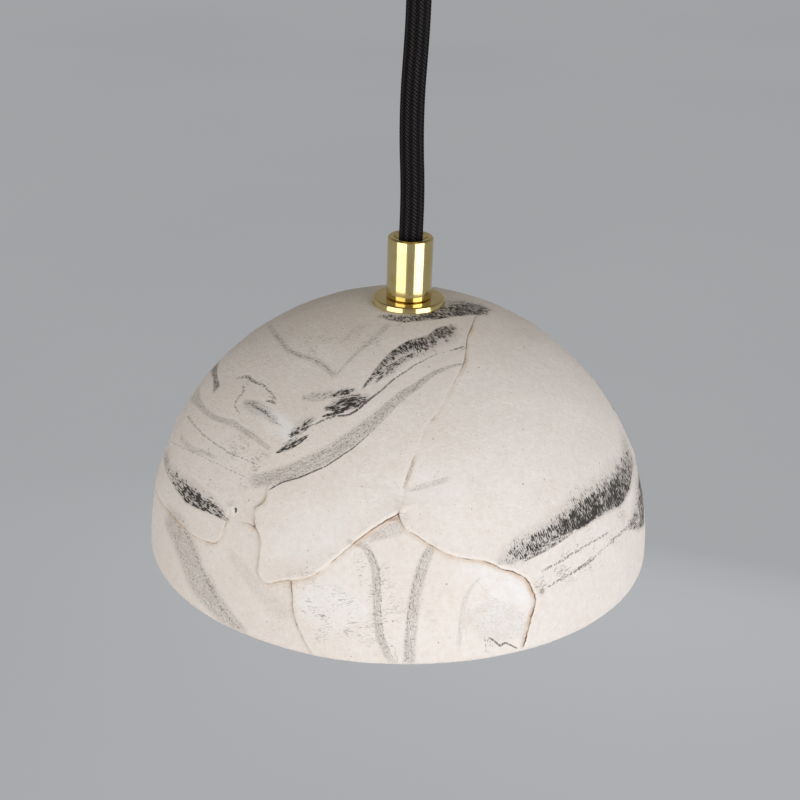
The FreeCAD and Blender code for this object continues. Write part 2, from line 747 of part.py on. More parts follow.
def terminal_posts():
    """Two brass posts on the insert that take the live and neutral conductors."""
    half = POST_SIZE / 2
    posts = []
    for side in (-1, 1):
        x = side * POST_OFFSET
        post = block(x - half, x + half, -half, half, insert_top, insert_top + POST_HEIGHT)
        core = bar(POST_BORE, Vector(x, 0, insert_top + POST_HEIGHT / 4), UP, POST_HEIGHT)
        middle = Vector(x, 0, insert_top + POST_HEIGHT / 2)
        screw = bar(POST_SCREW_RADIUS + THREAD_CLEARANCE, middle, BACK * -1, POST_SIZE)
        posts.append(post.cut(core).cut(screw))
    return Part.makeCompound(posts)


def terminal_post_screws():
    """Two screws in the posts' front faces that pinch the conductors."""
    screws = []
    for side in (-1, 1):
        start = Vector(side * POST_OFFSET, -CORE_DIAMETER / 2, insert_top + POST_HEIGHT / 2)
        length = POST_SIZE / 2 - CORE_DIAMETER / 2 + POST_SCREW_STAND
        screws.append(bar(POST_SCREW_RADIUS, start, BACK * -1, length))
    return Part.makeCompound(screws)


def holder_core(side, name):
    """A conductor from the cord's lower end to its post."""
    x, y = core_start(side)
    end = side * POST_OFFSET
    room = sheath_foot - insert_top - POST_HEIGHT
    route = [
        Vector(x, y, sheath_foot),
        Vector(x, y, sheath_foot - CORE_STRAIGHT_SHARE * room),
        Vector(end, 0, insert_top + POST_HEIGHT + CORE_POST_SHARE * room),
        Vector(end, 0, insert_top + POST_HEIGHT / 3),
    ]
    return routed_tube(route, CORE_DIAMETER / 2, name)


earth_foot = cap_inside - TAG_THICKNESS
earth_reach = nut_flat + EARTH_CLEARANCE + CORE_DIAMETER / 2


def earth_tag():
    """A ring tag on the threaded tube inside the cap, with a lug for the earth conductor."""
    lug_end = earth_reach + CORE_DIAMETER / 2
    ring_radius = nut_flat
    plate = disc(ring_radius, earth_foot, cap_inside)
    lug = block(-TAG_WIDTH / 2, TAG_WIDTH / 2, 0, lug_end, earth_foot, cap_inside)
    return plate.fuse(lug).cut(disc(thread_radius, earth_foot - PAST, cap_inside + PAST)).removeSplitter()


def earth_core():
    """The earth conductor, out from the cord's end and up to the tag's lug."""
    x, y = core_start(0)
    low = sheath_foot - EARTH_DIP
    route = [
        Vector(x, y, sheath_foot),
        Vector(x, y, low),
        Vector(x, earth_reach, low),
        Vector(x, earth_reach, earth_foot),
    ]
    return routed_tube(route, CORE_DIAMETER / 2, "lampholder_core_earth")


# Bulb


def bulb_cap():
    """The lamp's metal cap, filled with cement, with a screw ridge that runs between the shell's turns."""
    core = disc(lamp_core, housing_top, lamp_cap_top)
    path_radius = LAMP_CAP_RADIUS - LAMP_THREAD_ROUND
    return core.fuse(screw_ridge(path_radius, LAMP_THREAD_ROUND, lamp_ridge_foot, lamp_ridge_top))


def bulb_insulator():
    """The glass cone between the cap and the contact."""
    foot = lamp_cap_top
    top = lamp_tip - LAMP_CONTACT_HEIGHT
    return turned((0, foot), (lamp_core - SHELL_WALL, foot), (LAMP_CONTACT_RADIUS, top), (0, top))


def bulb_contact():
    """The solder dome on the lamp's end."""
    foot = lamp_tip - LAMP_CONTACT_HEIGHT
    flat = LAMP_CONTACT_RADIUS / 2
    return turned((0, foot), (LAMP_CONTACT_RADIUS, foot), (flat, lamp_tip), (0, lamp_tip))


def bulb_housing():
    """The moulded body between the cap and the globe, flared in a curve."""
    swell = ((BULB_NECK + seam_radius) / 2 + HOUSING_BULGE, (housing_top + globe_seam) / 2 + HOUSING_BULGE)
    return turned(
        (0, housing_top),
        (BULB_NECK, housing_top),
        (swell, (seam_radius, globe_seam)),
        (0, globe_seam),
    )


def bulb_globe():
    """The opal globe, open where it sits on the housing."""
    ball_shape = Part.makeSphere(BULB_RADIUS, Vector(0, 0, globe_centre))
    hollow = Part.makeSphere(BULB_RADIUS - GLOBE_WALL, Vector(0, 0, globe_centre))
    above = disc(2 * BULB_RADIUS, globe_seam, globe_centre + 2 * BULB_RADIUS)
    return ball_shape.cut(hollow).cut(above)


def board_radius():
    """The board's edge, inside the globe."""
    return seam_radius - GLOBE_WALL - BOARD_MARGIN


def bulb_board():
    """The lamp's round circuit board, on the housing's face."""
    return disc(board_radius(), globe_seam - BOARD_THICKNESS, globe_seam)


def bulb_leds():
    """A ring of light-emitting chips under the board."""
    top = globe_seam - BOARD_THICKNESS
    half = LED_SIZE / 2
    reach = board_radius() - LED_INSET - half
    chips = []
    for i in range(LED_COUNT):
        chip = block(reach - half, reach + half, -half, half, top - LED_HEIGHT, top)
        chip.rotate(Vector(0, 0, 0), UP, 360 * i / LED_COUNT)
        chips.append(chip)
    return Part.makeCompound(chips)


NODES = {
    "ceiling_bracket": ceiling_bracket(),
    "rose_screws": rose_screws(),
    "ceiling_rose": ceiling_rose(),
    "rose_grip": inverted(cord_grip()),
    "rose_grip_screw": inverted(grub_screw()),
    "rose_tube": ring(tube_radius, bore_radius, rose_tube_foot, rose_tube_top),
    "rose_lock_nut": hex_nut(rose_inside, NUT_HEIGHT),
    "terminal_block": terminal_block(),
    "terminal_block_screws": terminal_block_screws(),
    "rose_core_live": rose_core(-1, "rose_core_live"),
    "rose_core_earth": rose_core(0, "rose_core_earth"),
    "rose_core_neutral": rose_core(1, "rose_core_neutral"),
    "cord_upper_end": cord_upper_end(),
    "cord_bend": cord_bend(),
    "cord_drop": cord_drop(),
    "cord_lower_end": cord_lower_end(),
    "cord_grip": upright(cord_grip()),
    "cord_grip_screw": upright(grub_screw()),
    "grip_flange": grip_flange(),
    "threaded_tube": ring(tube_radius, bore_radius, tube_foot, flange_top + GRIP_SOCKET - THREAD_CLEARANCE),
    "ceramic_dome": ceramic_dome(),
    "rubber_washer": ring(rubber_radius, thread_radius, rubber_foot, crown_inside),
    "steel_washer": ring(steel_radius, thread_radius, steel_foot, rubber_foot),
    "lock_nut": hex_nut(holder_top, NUT_HEIGHT),
    "lampholder_cap": lampholder_cap(),
    "earth_tag": earth_tag(),
    "earth_nut": hex_nut(earth_foot - SLIM_NUT_HEIGHT, SLIM_NUT_HEIGHT),
    "lampholder_core_live": holder_core(-1, "lampholder_core_live"),
    "lampholder_core_neutral": holder_core(1, "lampholder_core_neutral"),
    "lampholder_core_earth": earth_core(),
    "lampholder_insert": lampholder_insert(),
    "terminal_posts": terminal_posts(),
    "terminal_post_screws": terminal_post_screws(),
    "screw_shell": screw_shell(),
    "centre_contact": centre_contact(),
    "lampholder_skirt": lampholder_skirt(),
    "bulb_contact": bulb_contact(),
    "bulb_insulator": bulb_insulator(),
    "bulb_cap": bulb_cap(),
    "bulb_housing": bulb_housing(),
    "bulb_board": bulb_board(),
    "bulb_leds": bulb_leds(),
    "bulb_globe": bulb_globe(),
}

os.makedirs("parts", exist_ok=True)
for node, shape in NODES.items():
    if not shape.isValid():
        raise ValueError(f"{node} isn't a valid shape")
    shape.exportStep(f"parts/{node}.step")
print(f"rim at {rim:.2f} mm, lampholder's mouth at {holder_mouth:.2f} mm")
print(f"globe's foot at {globe_centre - BULB_RADIUS:.2f} mm")
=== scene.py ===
"""Dresses the dome pendant light: clay dome, braided cord, brass fittings, lampholder, bulb and rose."""

import math

import bmesh
import bpy
import numpy as np
from mathutils import Matrix, Vector, noise


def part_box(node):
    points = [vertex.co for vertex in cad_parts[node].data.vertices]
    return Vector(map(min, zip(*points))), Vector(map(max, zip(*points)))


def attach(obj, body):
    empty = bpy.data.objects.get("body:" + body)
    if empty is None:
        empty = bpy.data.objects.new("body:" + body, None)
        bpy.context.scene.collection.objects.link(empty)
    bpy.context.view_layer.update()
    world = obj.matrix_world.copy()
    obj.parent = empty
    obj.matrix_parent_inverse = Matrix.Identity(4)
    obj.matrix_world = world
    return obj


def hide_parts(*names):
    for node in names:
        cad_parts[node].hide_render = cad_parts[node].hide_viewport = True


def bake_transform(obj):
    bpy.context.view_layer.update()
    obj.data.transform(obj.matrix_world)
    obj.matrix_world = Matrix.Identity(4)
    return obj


bl_info = {
    "name": "Dome pendant light",
    "version": (1, 0, 0),
    "blender": (4, 5, 0),
    "location": "3D View > Sidebar > Pendant",
    "description": "Builds the finishes and fine shapes of a marbled ceramic dome pendant",
    "category": "Object",
}

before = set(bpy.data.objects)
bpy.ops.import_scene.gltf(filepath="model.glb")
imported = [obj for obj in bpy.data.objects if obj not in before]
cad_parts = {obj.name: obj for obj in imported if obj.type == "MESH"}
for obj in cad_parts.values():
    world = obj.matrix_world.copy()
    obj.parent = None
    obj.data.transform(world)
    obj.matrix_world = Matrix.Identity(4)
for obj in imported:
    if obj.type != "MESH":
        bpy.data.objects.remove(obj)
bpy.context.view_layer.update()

# Lengths below are in millimetres, unless they say otherwise, and MM turns them to metres
MM = 0.001


def node_box(node):
    """A CAD node's lowest and highest corners, in millimetres."""
    low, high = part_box(node)
    return np.array(low) / MM, np.array(high) / MM


DOME_LOW, DOME_HIGH = node_box("ceramic_dome")
RIM = DOME_LOW[2]
SEAT = DOME_HIGH[2]
DOME_RADIUS = DOME_HIGH[0]
FLANGE_RADIUS, _, FLANGE_TOP = node_box("grip_flange")[1]
DOME_MOUTH = node_box("cord_grip")[1][2]
ROSE_MOUTH = node_box("rose_grip")[0][2]

# The photograph's camera, found by fitting the dome's outline, the grip and its flange
PHOTO_PIXELS = 800
FOCAL_PIXELS = 1420.0
SENSOR_WIDTH = 36.0
CAMERA_PLACE = np.array([-1.5, -385.5, 6.8])
CAMERA_PITCH = math.radians(23.55)
CAMERA_ROLL = math.radians(1.9)
# A ray from the camera is followed through this stretch, where the dome is
RAY_NEAR = 300.0
RAY_FAR = 480.0
RAY_STEPS = 1400

# The stage, in metres: the floor's half-width, the lamps' distance from the dome's axis and their height
FLOOR_REACH = 14.0
LAMP_DISTANCE = 0.78
LAMP_HEIGHT = 0.94
# How much of the floor's own colour shows to the camera and in metal, whatever the light
FLOOR_GLOW = 0.7
# Strength of the sky at the sides and at the top, and the rise of a ray over which it changes
SKY_SIDES = 0.38
SKY_TOP = 0.13
SKY_FADE = (0.35, 0.85)

# The dome: its wall, the flat pads at its crown outside and inside, its hole and its rim's rounding
DOME_WALL = 5.0
DOME_PAD = 11.7
DOME_INNER_PAD = 11.9
DOME_HOLE = 5.6
RIM_ROUND = 0.9
# A hand-cut hole leaves the dome this far off the cord's axis: nothing at the first radius, all at the second
DOME_SHIFT = -0.8
SHIFT_START = 13.0
SHIFT_END = 40.0
# Rings of points on the inner pad, the inner face, each rounding of the rim, the outer face and the outer pad
INNER_PAD_RINGS = 4
INNER_RINGS = 20
ROUND_RINGS = 6
OUTER_RINGS = 180
PAD_RINGS = 6
# The rim's outer rounding rises to this share of the outer face's relief
ROUND_SHARE = 0.15
# Points round the dome, and how far they crowd to the front, where the photograph looks
DOME_COLUMNS = 440
FRONT_CROWDING = 0.5
# The hand-built wall's slow swells, by the distance between them and their share
SWELL = 26.0
SECOND_SWELL = 9.0
SECOND_SWELL_SHARE = 0.45
FINE_SWELL = 3.5
FINE_SWELL_SHARE = 0.12
# The inner face's share of them, the radii between which they and the seams begin, and the rim's own wander
INNER_SHARE = 0.4
HOLD_START = 11.5
HOLD_END = 26.0
RIM_WANDER = 0.45
RIM_WANDER_REACH = 12.0
# A proud slab's lip: half its step, how far it falls back to the wall, its shallow groove, and its end
LIP_STEP = 0.4
LIP_REACH = 5.0
GROOVE_SHARE = 0.2
GROOVE_WIDTH = 0.5
LIP_END = 3.0

# Turned brass: points round a piece, the sharpest smooth edge in degrees, and the eased corners
TURNED_COLUMNS = 160
CREASE = 30.0
GRIP_EASE = 0.16
FLANGE_EASE = 0.12
# The grips' bore, bell mouth, socket for the threaded tube, and the broken edges at mouth and foot
GRIP_BORE = 3.6
MOUTH_RADIUS = 4.95
MOUTH_DEPTH = 2.6
TUBE_SOCKET = 5.08
TUBE_SOCKET_DEPTH = 8.0
MOUTH_CHAMFER = 0.45
FOOT_CHAMFER = 0.3
# The cross hole for the grub screw in each grip, its drop from the mouth, and the drill
GRUB_HOLE = 2.0
GRUB_DROP = 6.0
DRILL_LENGTH = 8.0
# The flange's hole, the draft of its side and its broken upper edge
FLANGE_HOLE = 5.1
FLANGE_DRAFT = 0.25
FLANGE_CHAMFER = 0.3

# The hanging cord's route, as in the part's source: (sideways, height) from the rose's grip to the dome's
CORD_DIAMETER = 6.5
CORD_ENTRY = 3.0
CORD_ROUTE = [
    (0.0, ROSE_MOUTH + 1.0),
    (0.0, ROSE_MOUTH - 7.55),
    (-0.35, ROSE_MOUTH - 17.0),
    (-0.85, ROSE_MOUTH - 28.5),
    (-0.70, ROSE_MOUTH - 41.0),
    (0.05, ROSE_MOUTH - 53.0),
    (0.12, ROSE_MOUTH - 63.0),
    (0.0, DOME_MOUTH - CORD_ENTRY),
]
# The braid's height, from 0 to 1, that lies at the cord's plain radius
BRAID_MIDDLE = 0.55
# A strand's fall where it dives under the next, and the share of painted light on those that wind one way,
# which leaves them in painted shade beside the others
STRAND_DIVE = 0.25
STRAND_SHADE = 0.75
# A cut end closes to this share of the radius, and a round end's tip to this share of its area
END_SHARE = 0.1
TIP_SHARE = 0.004

# Marks in the clay: each has a strength and a route of (x, y, half-width) in the photograph's pixels.
# Charcoal hatched across its band, with its crisp edge on the left of the route's way
CHARCOAL_BANDS = {
    # Charcoal round the flange; its left part is darker because a painted shadow under the flange's edge is
    # added to it
    "crown": ([0.7, 0.86, 0.9, 0.89, 0.88, 0.86, 0.8, 0.76, 0.66], [
        (481, 307, 3), (473, 307.5, 6), (459, 308.5, 6.5), (446, 311.5, 6), (436, 314.5, 5),
        (420, 317, 4.5), (403, 318.5, 4.5), (391, 317, 3.5), (380, 316, 1.5),
    ]),
    "upper": (0.84, [
        (362.7, 388, 1), (371.5, 378, 2.4), (382, 366.5, 4), (392, 357, 4.8), (401, 351, 5),
        (409, 347.5, 6.5), (416, 346.5, 8.5), (423, 344.5, 8), (433, 340, 6), (443, 335, 8),
        (449, 331, 7.5), (452, 328, 4),
    ]),
    "right": ([0.55, 0.8, 0.94, 0.98, 0.94, 0.95, 1.0, 0.9, 0.8, 0.78, 0.75, 0.68, 0.45], [
        (628, 446, 2), (628, 462, 3.5), (624, 477, 7), (615, 489, 13), (603, 497, 14), (590, 505, 14),
        (577, 515, 13.5), (563, 524, 11), (550, 531, 10), (536, 539, 10.5), (522, 548, 11), (509, 556, 9),
        (497, 561, 4),
    ]),
    "right_split": (0.7, [
        (573, 532, 0.9), (561, 539.5, 2.2), (548, 547.5, 2.4), (534, 555.5, 1.8), (524, 561, 0.9),
    ]),
}
# Charcoal dragged along its band
DRAGGED_BANDS = {
    "left": ([0.72, 0.78, 0.86, 0.95, 0.95, 0.82, 0.56, 0.48], [
        (228, 520, 2), (220, 512, 5), (211, 506, 7), (200, 500.5, 8), (190, 494, 8), (180, 484, 5.5),
        (172, 473.5, 3), (166, 454, 1.5),
    ]),
    "right_edge": ([0.88, 0.92, 0.86, 0.74, 0.58], [
        (638, 470, 1.5), (640.5, 488, 2.5), (641, 502, 4), (637, 516, 4.5), (629, 526, 2),
    ]),
    "middle": (0.86, [(365, 398, 4), (356, 400, 8), (346, 402, 9.5), (336.5, 405.5, 7), (328, 408, 3)]),
    "lower": (0.85, [
        (307, 436, 1.5), (300, 440.5, 3.2), (291, 445.5, 4), (284, 449, 3), (277, 452.5, 1.2),
    ]),
    "swirl_upper": (0.48, [(245, 403, 1.8), (252, 402.5, 2.6), (260, 404, 1.5)]),
    "swirl_lower": (0.4, [(270, 416.5, 1.5), (277, 423, 2.2), (283, 427.5, 1)]),
}
# More dragged charcoal, close beside the bands above
DRAGGED_BESIDE = {
    "upper_under": (0.72, [
        (376, 382, 1.5), (384, 374, 3.5), (392, 368, 4.5), (400, 362, 3.5), (412, 356, 2.5),
    ]),
    "middle_top": (0.8, [(353, 389.5, 2), (346, 391, 3.5), (338, 393.5, 3), (330, 396, 2)]),
    "middle_left": (0.55, [(331, 392, 2), (323, 395.5, 5), (314, 397, 5), (304, 397.5, 2.5)]),
    "middle_streak": (0.95, [(343, 411.5, 1.4), (336, 412.5, 2), (329, 414.5, 1.8), (322.5, 416.5, 0.8)]),
    "lower_upper": (0.82, [(311, 420, 3), (305, 425, 5.5), (299, 430, 5.5), (291, 435.5, 2.5)]),
    "lower_end": (0.6, [(297, 437, 1.0), (290, 441, 1.6), (283, 444.5, 1.0)]),
    "swirl_middle": (0.6, [(253, 407, 1.5), (262, 410, 2.2), (269, 414, 1.2)]),
}
# Soft grey bands
SMOKE_BANDS = {
    "long": (0.8, [
        (462, 364.5, 1.2), (449, 366.7, 1.6), (436, 372, 2.2), (426, 378, 2.6), (415.5, 387, 3.6),
        (405, 393, 4.2), (395, 401.5, 4.8), (385, 411, 5.6), (375, 420, 6.4), (362.5, 430.5, 7),
        (348, 441, 7.4), (333, 452, 7.6), (318.5, 460, 8), (304, 466, 8), (289, 473, 7.6), (274, 477, 7.5),
        (258, 481, 6),
    ]),
    "lower_left": (0.64, [
        (171, 521, 6), (180, 533, 9), (188.5, 556, 10), (197, 580, 10), (210, 597.5, 9), (223, 614, 8),
        (238, 627, 5),
    ]),
    "front": (0.68, [
        (431, 548, 4.5), (425, 560, 5.5), (419.5, 576, 5.8), (414, 600, 5.6), (411.5, 626, 5.8),
        (409.8, 643, 6), (409, 664, 6),
    ]),
    "front_left": (0.68, [
        (351, 542, 2.5), (364, 545.5, 3.5), (371, 555, 4), (375, 569, 4), (376.5, 586, 4), (376.5, 602, 4),
        (377, 619, 4), (380, 639, 4), (387, 654, 3.5), (393, 663, 3),
    ]),
    "front_right": (0.3, [
        (479, 579, 1), (470, 588, 2), (464, 601, 2.5), (461, 618, 2.5), (458.5, 644, 2.5),
    ]),
    "patch": (0.22, [(470, 618, 8), (485, 618, 18), (505, 624, 20), (522, 630, 9)]),
    "patch_edge": (0.16, [(481, 585, 0.8), (487, 594, 0.9), (497, 600, 0.9), (510, 607, 0.8)]),
    "upright_low": (0.7, [(414, 463, 1.2), (410, 472, 2.0), (407, 480, 2.0), (404, 487, 1.2)]),
    "cloud_fleck": (0.45, [(411, 490, 2), (424, 486, 3), (446, 480, 3)]),
    "left_line": (0.62, [
        (195, 394, 2), (199, 403, 2.5), (206, 412, 2.5), (217, 419, 3), (233, 423, 3), (240, 428, 3),
        (254, 437, 3), (268.6, 448, 2),
    ]),
    "left_third": (0.45, [(181, 437, 1.5), (192, 449.6, 2.5), (202.5, 452, 2.5), (215, 457, 2)]),
    "top_left": (0.45, [
        (269, 326, 2), (276, 335, 3), (288, 350, 3), (301, 356, 2.5), (314, 359, 3), (324.5, 366, 3.5),
        (333, 375, 2.5),
    ]),
    "top_middle": (0.35, [
        (387, 326, 2.5), (368, 344, 2), (354, 356, 2), (345, 364.5, 1.6), (336, 375, 1.2),
    ]),
    "swirl": (0.45, [(246, 404, 5), (256, 408, 7), (266, 412, 6), (274, 420, 4)]),
    "panel_left": (0.2, [(232, 556, 4), (246, 574, 6), (260, 590, 7), (274, 604, 7), (286, 616, 4)]),
    "joint": (0.5, [(402, 520, 5), (398, 528, 8), (384, 533, 6), (372, 538, 4)]),
}
# Thin dark lines, and a painted shadow beside the nub
HAIRLINES = {
    "long": ([0.7, 0.75, 0.5, 0.6, 0.66, 0.72, 0.74, 0.76, 0.8, 0.86, 0.9, 0.84, 0.8, 0.7], [
        (464, 347.2, 0.9), (455, 349.5, 0.8), (446, 352.2, 0.5), (437.5, 353.4, 0.5), (428.7, 358, 0.6),
        (417, 363.8, 0.7), (406.7, 371.1, 0.8), (395, 378.2, 0.8), (381.8, 390.1, 0.9), (365.6, 403, 1.1),
        (356.8, 410.6, 1.2), (348, 415.5, 1.1), (332, 416.4, 1.1), (310, 426.8, 0.8),
    ]),
    "under_smoke": ([0.3, 0.5, 0.74, 0.82, 0.86, 0.88, 0.86, 0.9, 0.8], [
        (391, 411, 0.3), (382, 422, 0.4), (363, 440, 0.6), (351, 450, 0.7), (326, 466.5, 0.65),
        (300, 477.5, 0.7), (282, 482.5, 0.7), (275, 487, 0.6), (268.8, 491.5, 0.4),
    ]),
    "top_left": (0.6, [
        (276, 335, 0.8), (282, 343, 0.9), (288, 350, 0.8), (301, 356, 0.8), (314, 359, 0.9),
        (324.5, 366, 1.0), (333, 375, 0.7),
    ]),
    "top_middle": (0.5, [
        (388, 326, 0.9), (383, 331.5, 0.8), (368.5, 344, 0.6), (354, 356, 0.6), (345, 364.5, 0.5),
        (336, 375, 0.4),
    ]),
    "upright_top": (0.72, [
        (475.5, 317, 0.5), (471, 329, 0.7), (467, 338, 0.8), (466.3, 348, 0.6), (465, 358, 0.7),
        (463, 366, 0.7), (459.5, 373, 0.4),
    ]),
    "left_dotted": (0.62, [
        (188, 416, 0.7), (197, 428, 0.9), (206, 437, 0.9), (218.6, 446, 1.0), (229, 453, 0.9),
        (256, 464, 0.8),
    ]),
    "left_faint": (0.58, [
        (170, 441, 0.6), (186, 449, 0.7), (201, 456, 0.7), (222, 466, 0.7), (247, 478, 0.6),
    ]),
    "left_arc": (0.55, [(165, 452, 0.6), (167, 463, 0.8), (172, 475, 1.0), (180, 486, 0.9)]),
    "tick": (0.76, [(215, 366, 0.6), (215.6, 376, 1.0), (216.4, 384, 1.6), (217, 389, 2.2)]),
    "swirl_top": ([0.55, 0.74, 0.78, 0.68, 0.66, 0.7], [
        (236, 378, 0.8), (248, 376.5, 1.2), (253, 381.5, 1.4), (263, 385, 1.2), (270.5, 392, 1.2),
        (276, 400, 1.0),
    ]),
    "swirl_wisp": (0.68, [
        (247, 402.5, 0.8), (253, 405, 1.2), (260, 409.5, 1.4), (266, 413.5, 1.2), (271, 418, 0.8),
    ]),
    "swirl_tip": (0.76, [(266, 400.5, 0.8), (271, 401.5, 1.1), (276, 404, 0.8)]),
    "swirl_side": (0.64, [
        (243.6, 385, 0.8), (244.5, 391.6, 1.0), (235.5, 401, 1.0), (235.5, 408.6, 0.9), (240, 413, 0.7),
    ]),
    "right_upper": (0.66, [
        (608, 532.5, 0.9), (590, 543, 1.0), (572, 554, 1.3), (557, 563, 1.2), (542, 571, 0.9),
    ]),
    "right_lower": ([0.58, 0.66, 0.6, 0.54, 0.7, 0.74, 0.7, 0.62], [
        (636, 519, 0.8), (622, 532, 1.2), (611, 541, 1.0), (601.8, 550, 0.9), (590, 561, 1.5),
        (579.7, 568.5, 1.5), (568, 575.5, 1.1), (546.7, 587.5, 0.9),
    ]),
    "lower_left_edge": (0.57, [
        (185, 531, 1.0), (190, 539, 1.2), (198, 560, 1.4), (206, 578, 1.4), (213, 593, 1.5),
        (221, 608, 1.4), (230, 621, 1.2), (240, 629, 0.8),
    ]),
    "front_left_edge": (0.6, [
        (366, 547, 0.7), (374, 556, 0.8), (379, 570, 0.9), (380.5, 586, 0.9), (380.8, 602, 1.0),
        (381, 619, 0.9), (383.5, 636, 0.8), (390, 652, 0.7),
    ]),
    "front_edge": (0.58, [
        (425, 552, 0.6), (418, 570, 0.9), (413, 588, 0.9), (409.5, 604, 0.9), (407.5, 620, 1.0),
        (406.5, 636, 1.1), (406, 652, 1.1), (405, 663, 0.8),
    ]),
    "jagged_left": (0.58, [(484, 636, 0.7), (486, 645, 0.9), (485.6, 654, 0.7)]),
    "jagged": (0.8, [
        (489, 637, 0.8), (497, 643, 1.0), (500.2, 647, 1.0), (503.7, 641, 0.9), (510.5, 645, 0.9),
        (517, 648, 0.7),
    ]),
    # A painted shadow beside the pinched nub
    "nub_shade": (0.95, [(236.4, 507.5, 0.5), (237.4, 510.5, 1.0), (236.2, 513, 0.6)]),
}
# Stretches with scattered dashes
FLECKS = {
    "front": (0.8, [(300, 606, 30), (318, 606, 40), (345, 604, 42), (372, 602, 40)]),
    "right": (0.9, [(618, 524, 9), (600, 541, 14), (578, 558, 15), (556, 574, 12), (540, 586, 8)]),
    "left_upper": (0.62, [(172, 414, 10), (195, 428, 20), (222, 444, 26), (248, 460, 24), (264, 470, 14)]),
    "left_low": (0.72, [(176, 470, 6), (200, 472, 12), (225, 476, 14), (247, 480, 10)]),
    "lower_left": (0.92, [(176, 530, 6), (192, 560, 9), (204, 586, 9), (221, 610, 8), (236, 626, 5)]),
    "front_right": (0.35, [(470, 600, 14), (492, 610, 26), (514, 620, 22)]),
    "top": (0.62, [(300, 340, 6), (330, 345, 14), (360, 340, 14), (392, 328, 8)]),
}
# Clouds of pale slip, and a painted highlight on the nub
CLOUDS = {
    "under_upright": (0.25, [(402, 486, 10), (418, 484, 20), (440, 486, 16), (458, 490, 8)]),
    "front_right": (0.7, [(468, 575, 8), (486, 582, 16), (508, 590, 16), (524, 600, 9)]),
    "patch": (0.6, [(478, 610, 8), (494, 618, 16), (514, 624, 12)]),
    "front": (0.5, [(302, 600, 10), (318, 604, 26), (338, 606, 26), (356, 606, 14)]),
    "left_shine": (0.78, [(262, 410, 6), (276, 422, 11), (292, 434, 8)]),
    "slab": (0.3, [(270, 540, 10), (292, 540, 26), (318, 532, 24), (340, 520, 12)]),
    # A painted highlight on the pinched nub
    "nub_shine": (1.0, [(230, 509, 1.6), (232.5, 508, 2.2), (234.5, 507, 1.4)]),
}
# Slab seams as (x, y, stain from 0 to 1), which also sets the painted shadow under a proud lip
SEAMS = {
    "upright": [
        (476, 316, 0.6), (471, 329, 0.7), (466.8, 338, 0.7), (466, 348.4, 0.75), (464, 364.5, 0.8),
        (453.6, 383.6, 0.5), (446, 397, 0.35), (434.6, 417.4, 0.35), (425.8, 425, 0.35), (421.4, 441, 0.35),
        (415.5, 454, 0.45), (408, 473, 0.55), (405, 485, 0.45), (403.8, 497, 0.35), (400, 508, 0.6),
        (398, 514, 0.9),
    ],
    "slab_left": [
        (268, 491, 0.4), (265, 503, 0.8), (259.4, 505.5, 0.8), (255, 508.5, 0.6), (256, 522, 0.8),
        (256, 527, 1.0), (260, 534, 0.6), (261.9, 541, 0.5), (260.2, 556, 0.45), (257.7, 571, 0.55),
        (262, 580.5, 0.65), (268, 584.3, 0.65), (276, 581.8, 0.6), (284, 580.8, 0.6), (291, 579.5, 0.75),
        (299, 580, 0.6), (314, 576, 0.55), (330.7, 562.7, 0.6), (347.3, 549.5, 0.7), (360.6, 537.8, 0.8),
        (372, 529.6, 0.95), (385.4, 521.3, 1.0), (398, 514, 1.0),
    ],
    "slab_right": [
        (398.6, 514.4, 1.0), (401, 523, 0.6), (404.6, 529, 0.6), (415.8, 535, 0.8), (428, 543.7, 0.7),
        (436.5, 549, 0.65), (450, 555, 0.65), (466, 559.2, 0.7), (481, 560.3, 0.7), (491.6, 563.5, 0.8),
        (500, 569, 0.9), (510.5, 570.6, 0.95), (521, 575.6, 0.95), (526, 578.3, 1.0), (531, 587.6, 1.0),
        (535.5, 599, 1.0), (534.7, 605.7, 1.0), (531, 616, 0.95), (528, 628, 0.95), (522.6, 645, 0.9),
    ],
    "down": [
        (291, 581, 0.95), (292.4, 590, 0.9), (292.6, 606, 0.8), (296, 622.4, 0.85), (304, 640.7, 0.7),
        (312.5, 654, 0.5), (318, 660, 0.4),
    ],
    "left": [
        (155, 481, 0.5), (164.9, 506, 0.6), (171.5, 513, 0.65), (183, 524.6, 0.6), (194.7, 536.2, 0.65),
        (206, 541.5, 0.75), (216.3, 543.6, 0.7), (221.3, 537.8, 0.55), (225.4, 526, 0.5), (231, 513, 0.5),
    ],
    "notch": [(240, 521.5, 0.2), (247.5, 523, 0.8), (252, 524.7, 0.95), (255.5, 528, 1.0)],
    "band_edge": [
        (641, 450, 0), (635, 470, 0), (629.5, 490, 0), (620.8, 503, 0), (605, 513.5, 0), (588, 522.5, 0),
        (571, 534, 0), (553.6, 544.5, 0), (536, 555, 0), (519, 566, 0),
    ],
}
# How far a seam's slab stands proud, which also sets the painted highlight on its lip, and on which side of
# the route: 1 is left of its way, -1 right of it
SEAM_LIPS = {
    "upright": (0.14, -1), "slab_left": (0.65, 1), "slab_right": (0.55, 1), "down": (0.4, 1),
    "left": (0.28, 1), "notch": (0.1, 1), "band_edge": (0.22, 1),
}
# Chips at the slab's corners, with bare pink clay in them
CHIPS = {
    "corner": (0.9, [(386, 521, 0.9), (391, 519.6, 1.9), (397, 518.4, 1.5)]),
    "notch": (0.8, [(255, 523.5, 0.6), (255.5, 525, 1.0), (255.8, 526.5, 0.6)]),
}
# A pinched nub of clay, as (x, y) in the photograph's pixels, with its radius and height in millimetres
NUB_PIXEL = (233, 509)
NUB_RADIUS = 1.2
NUB_HEIGHT = 0.9

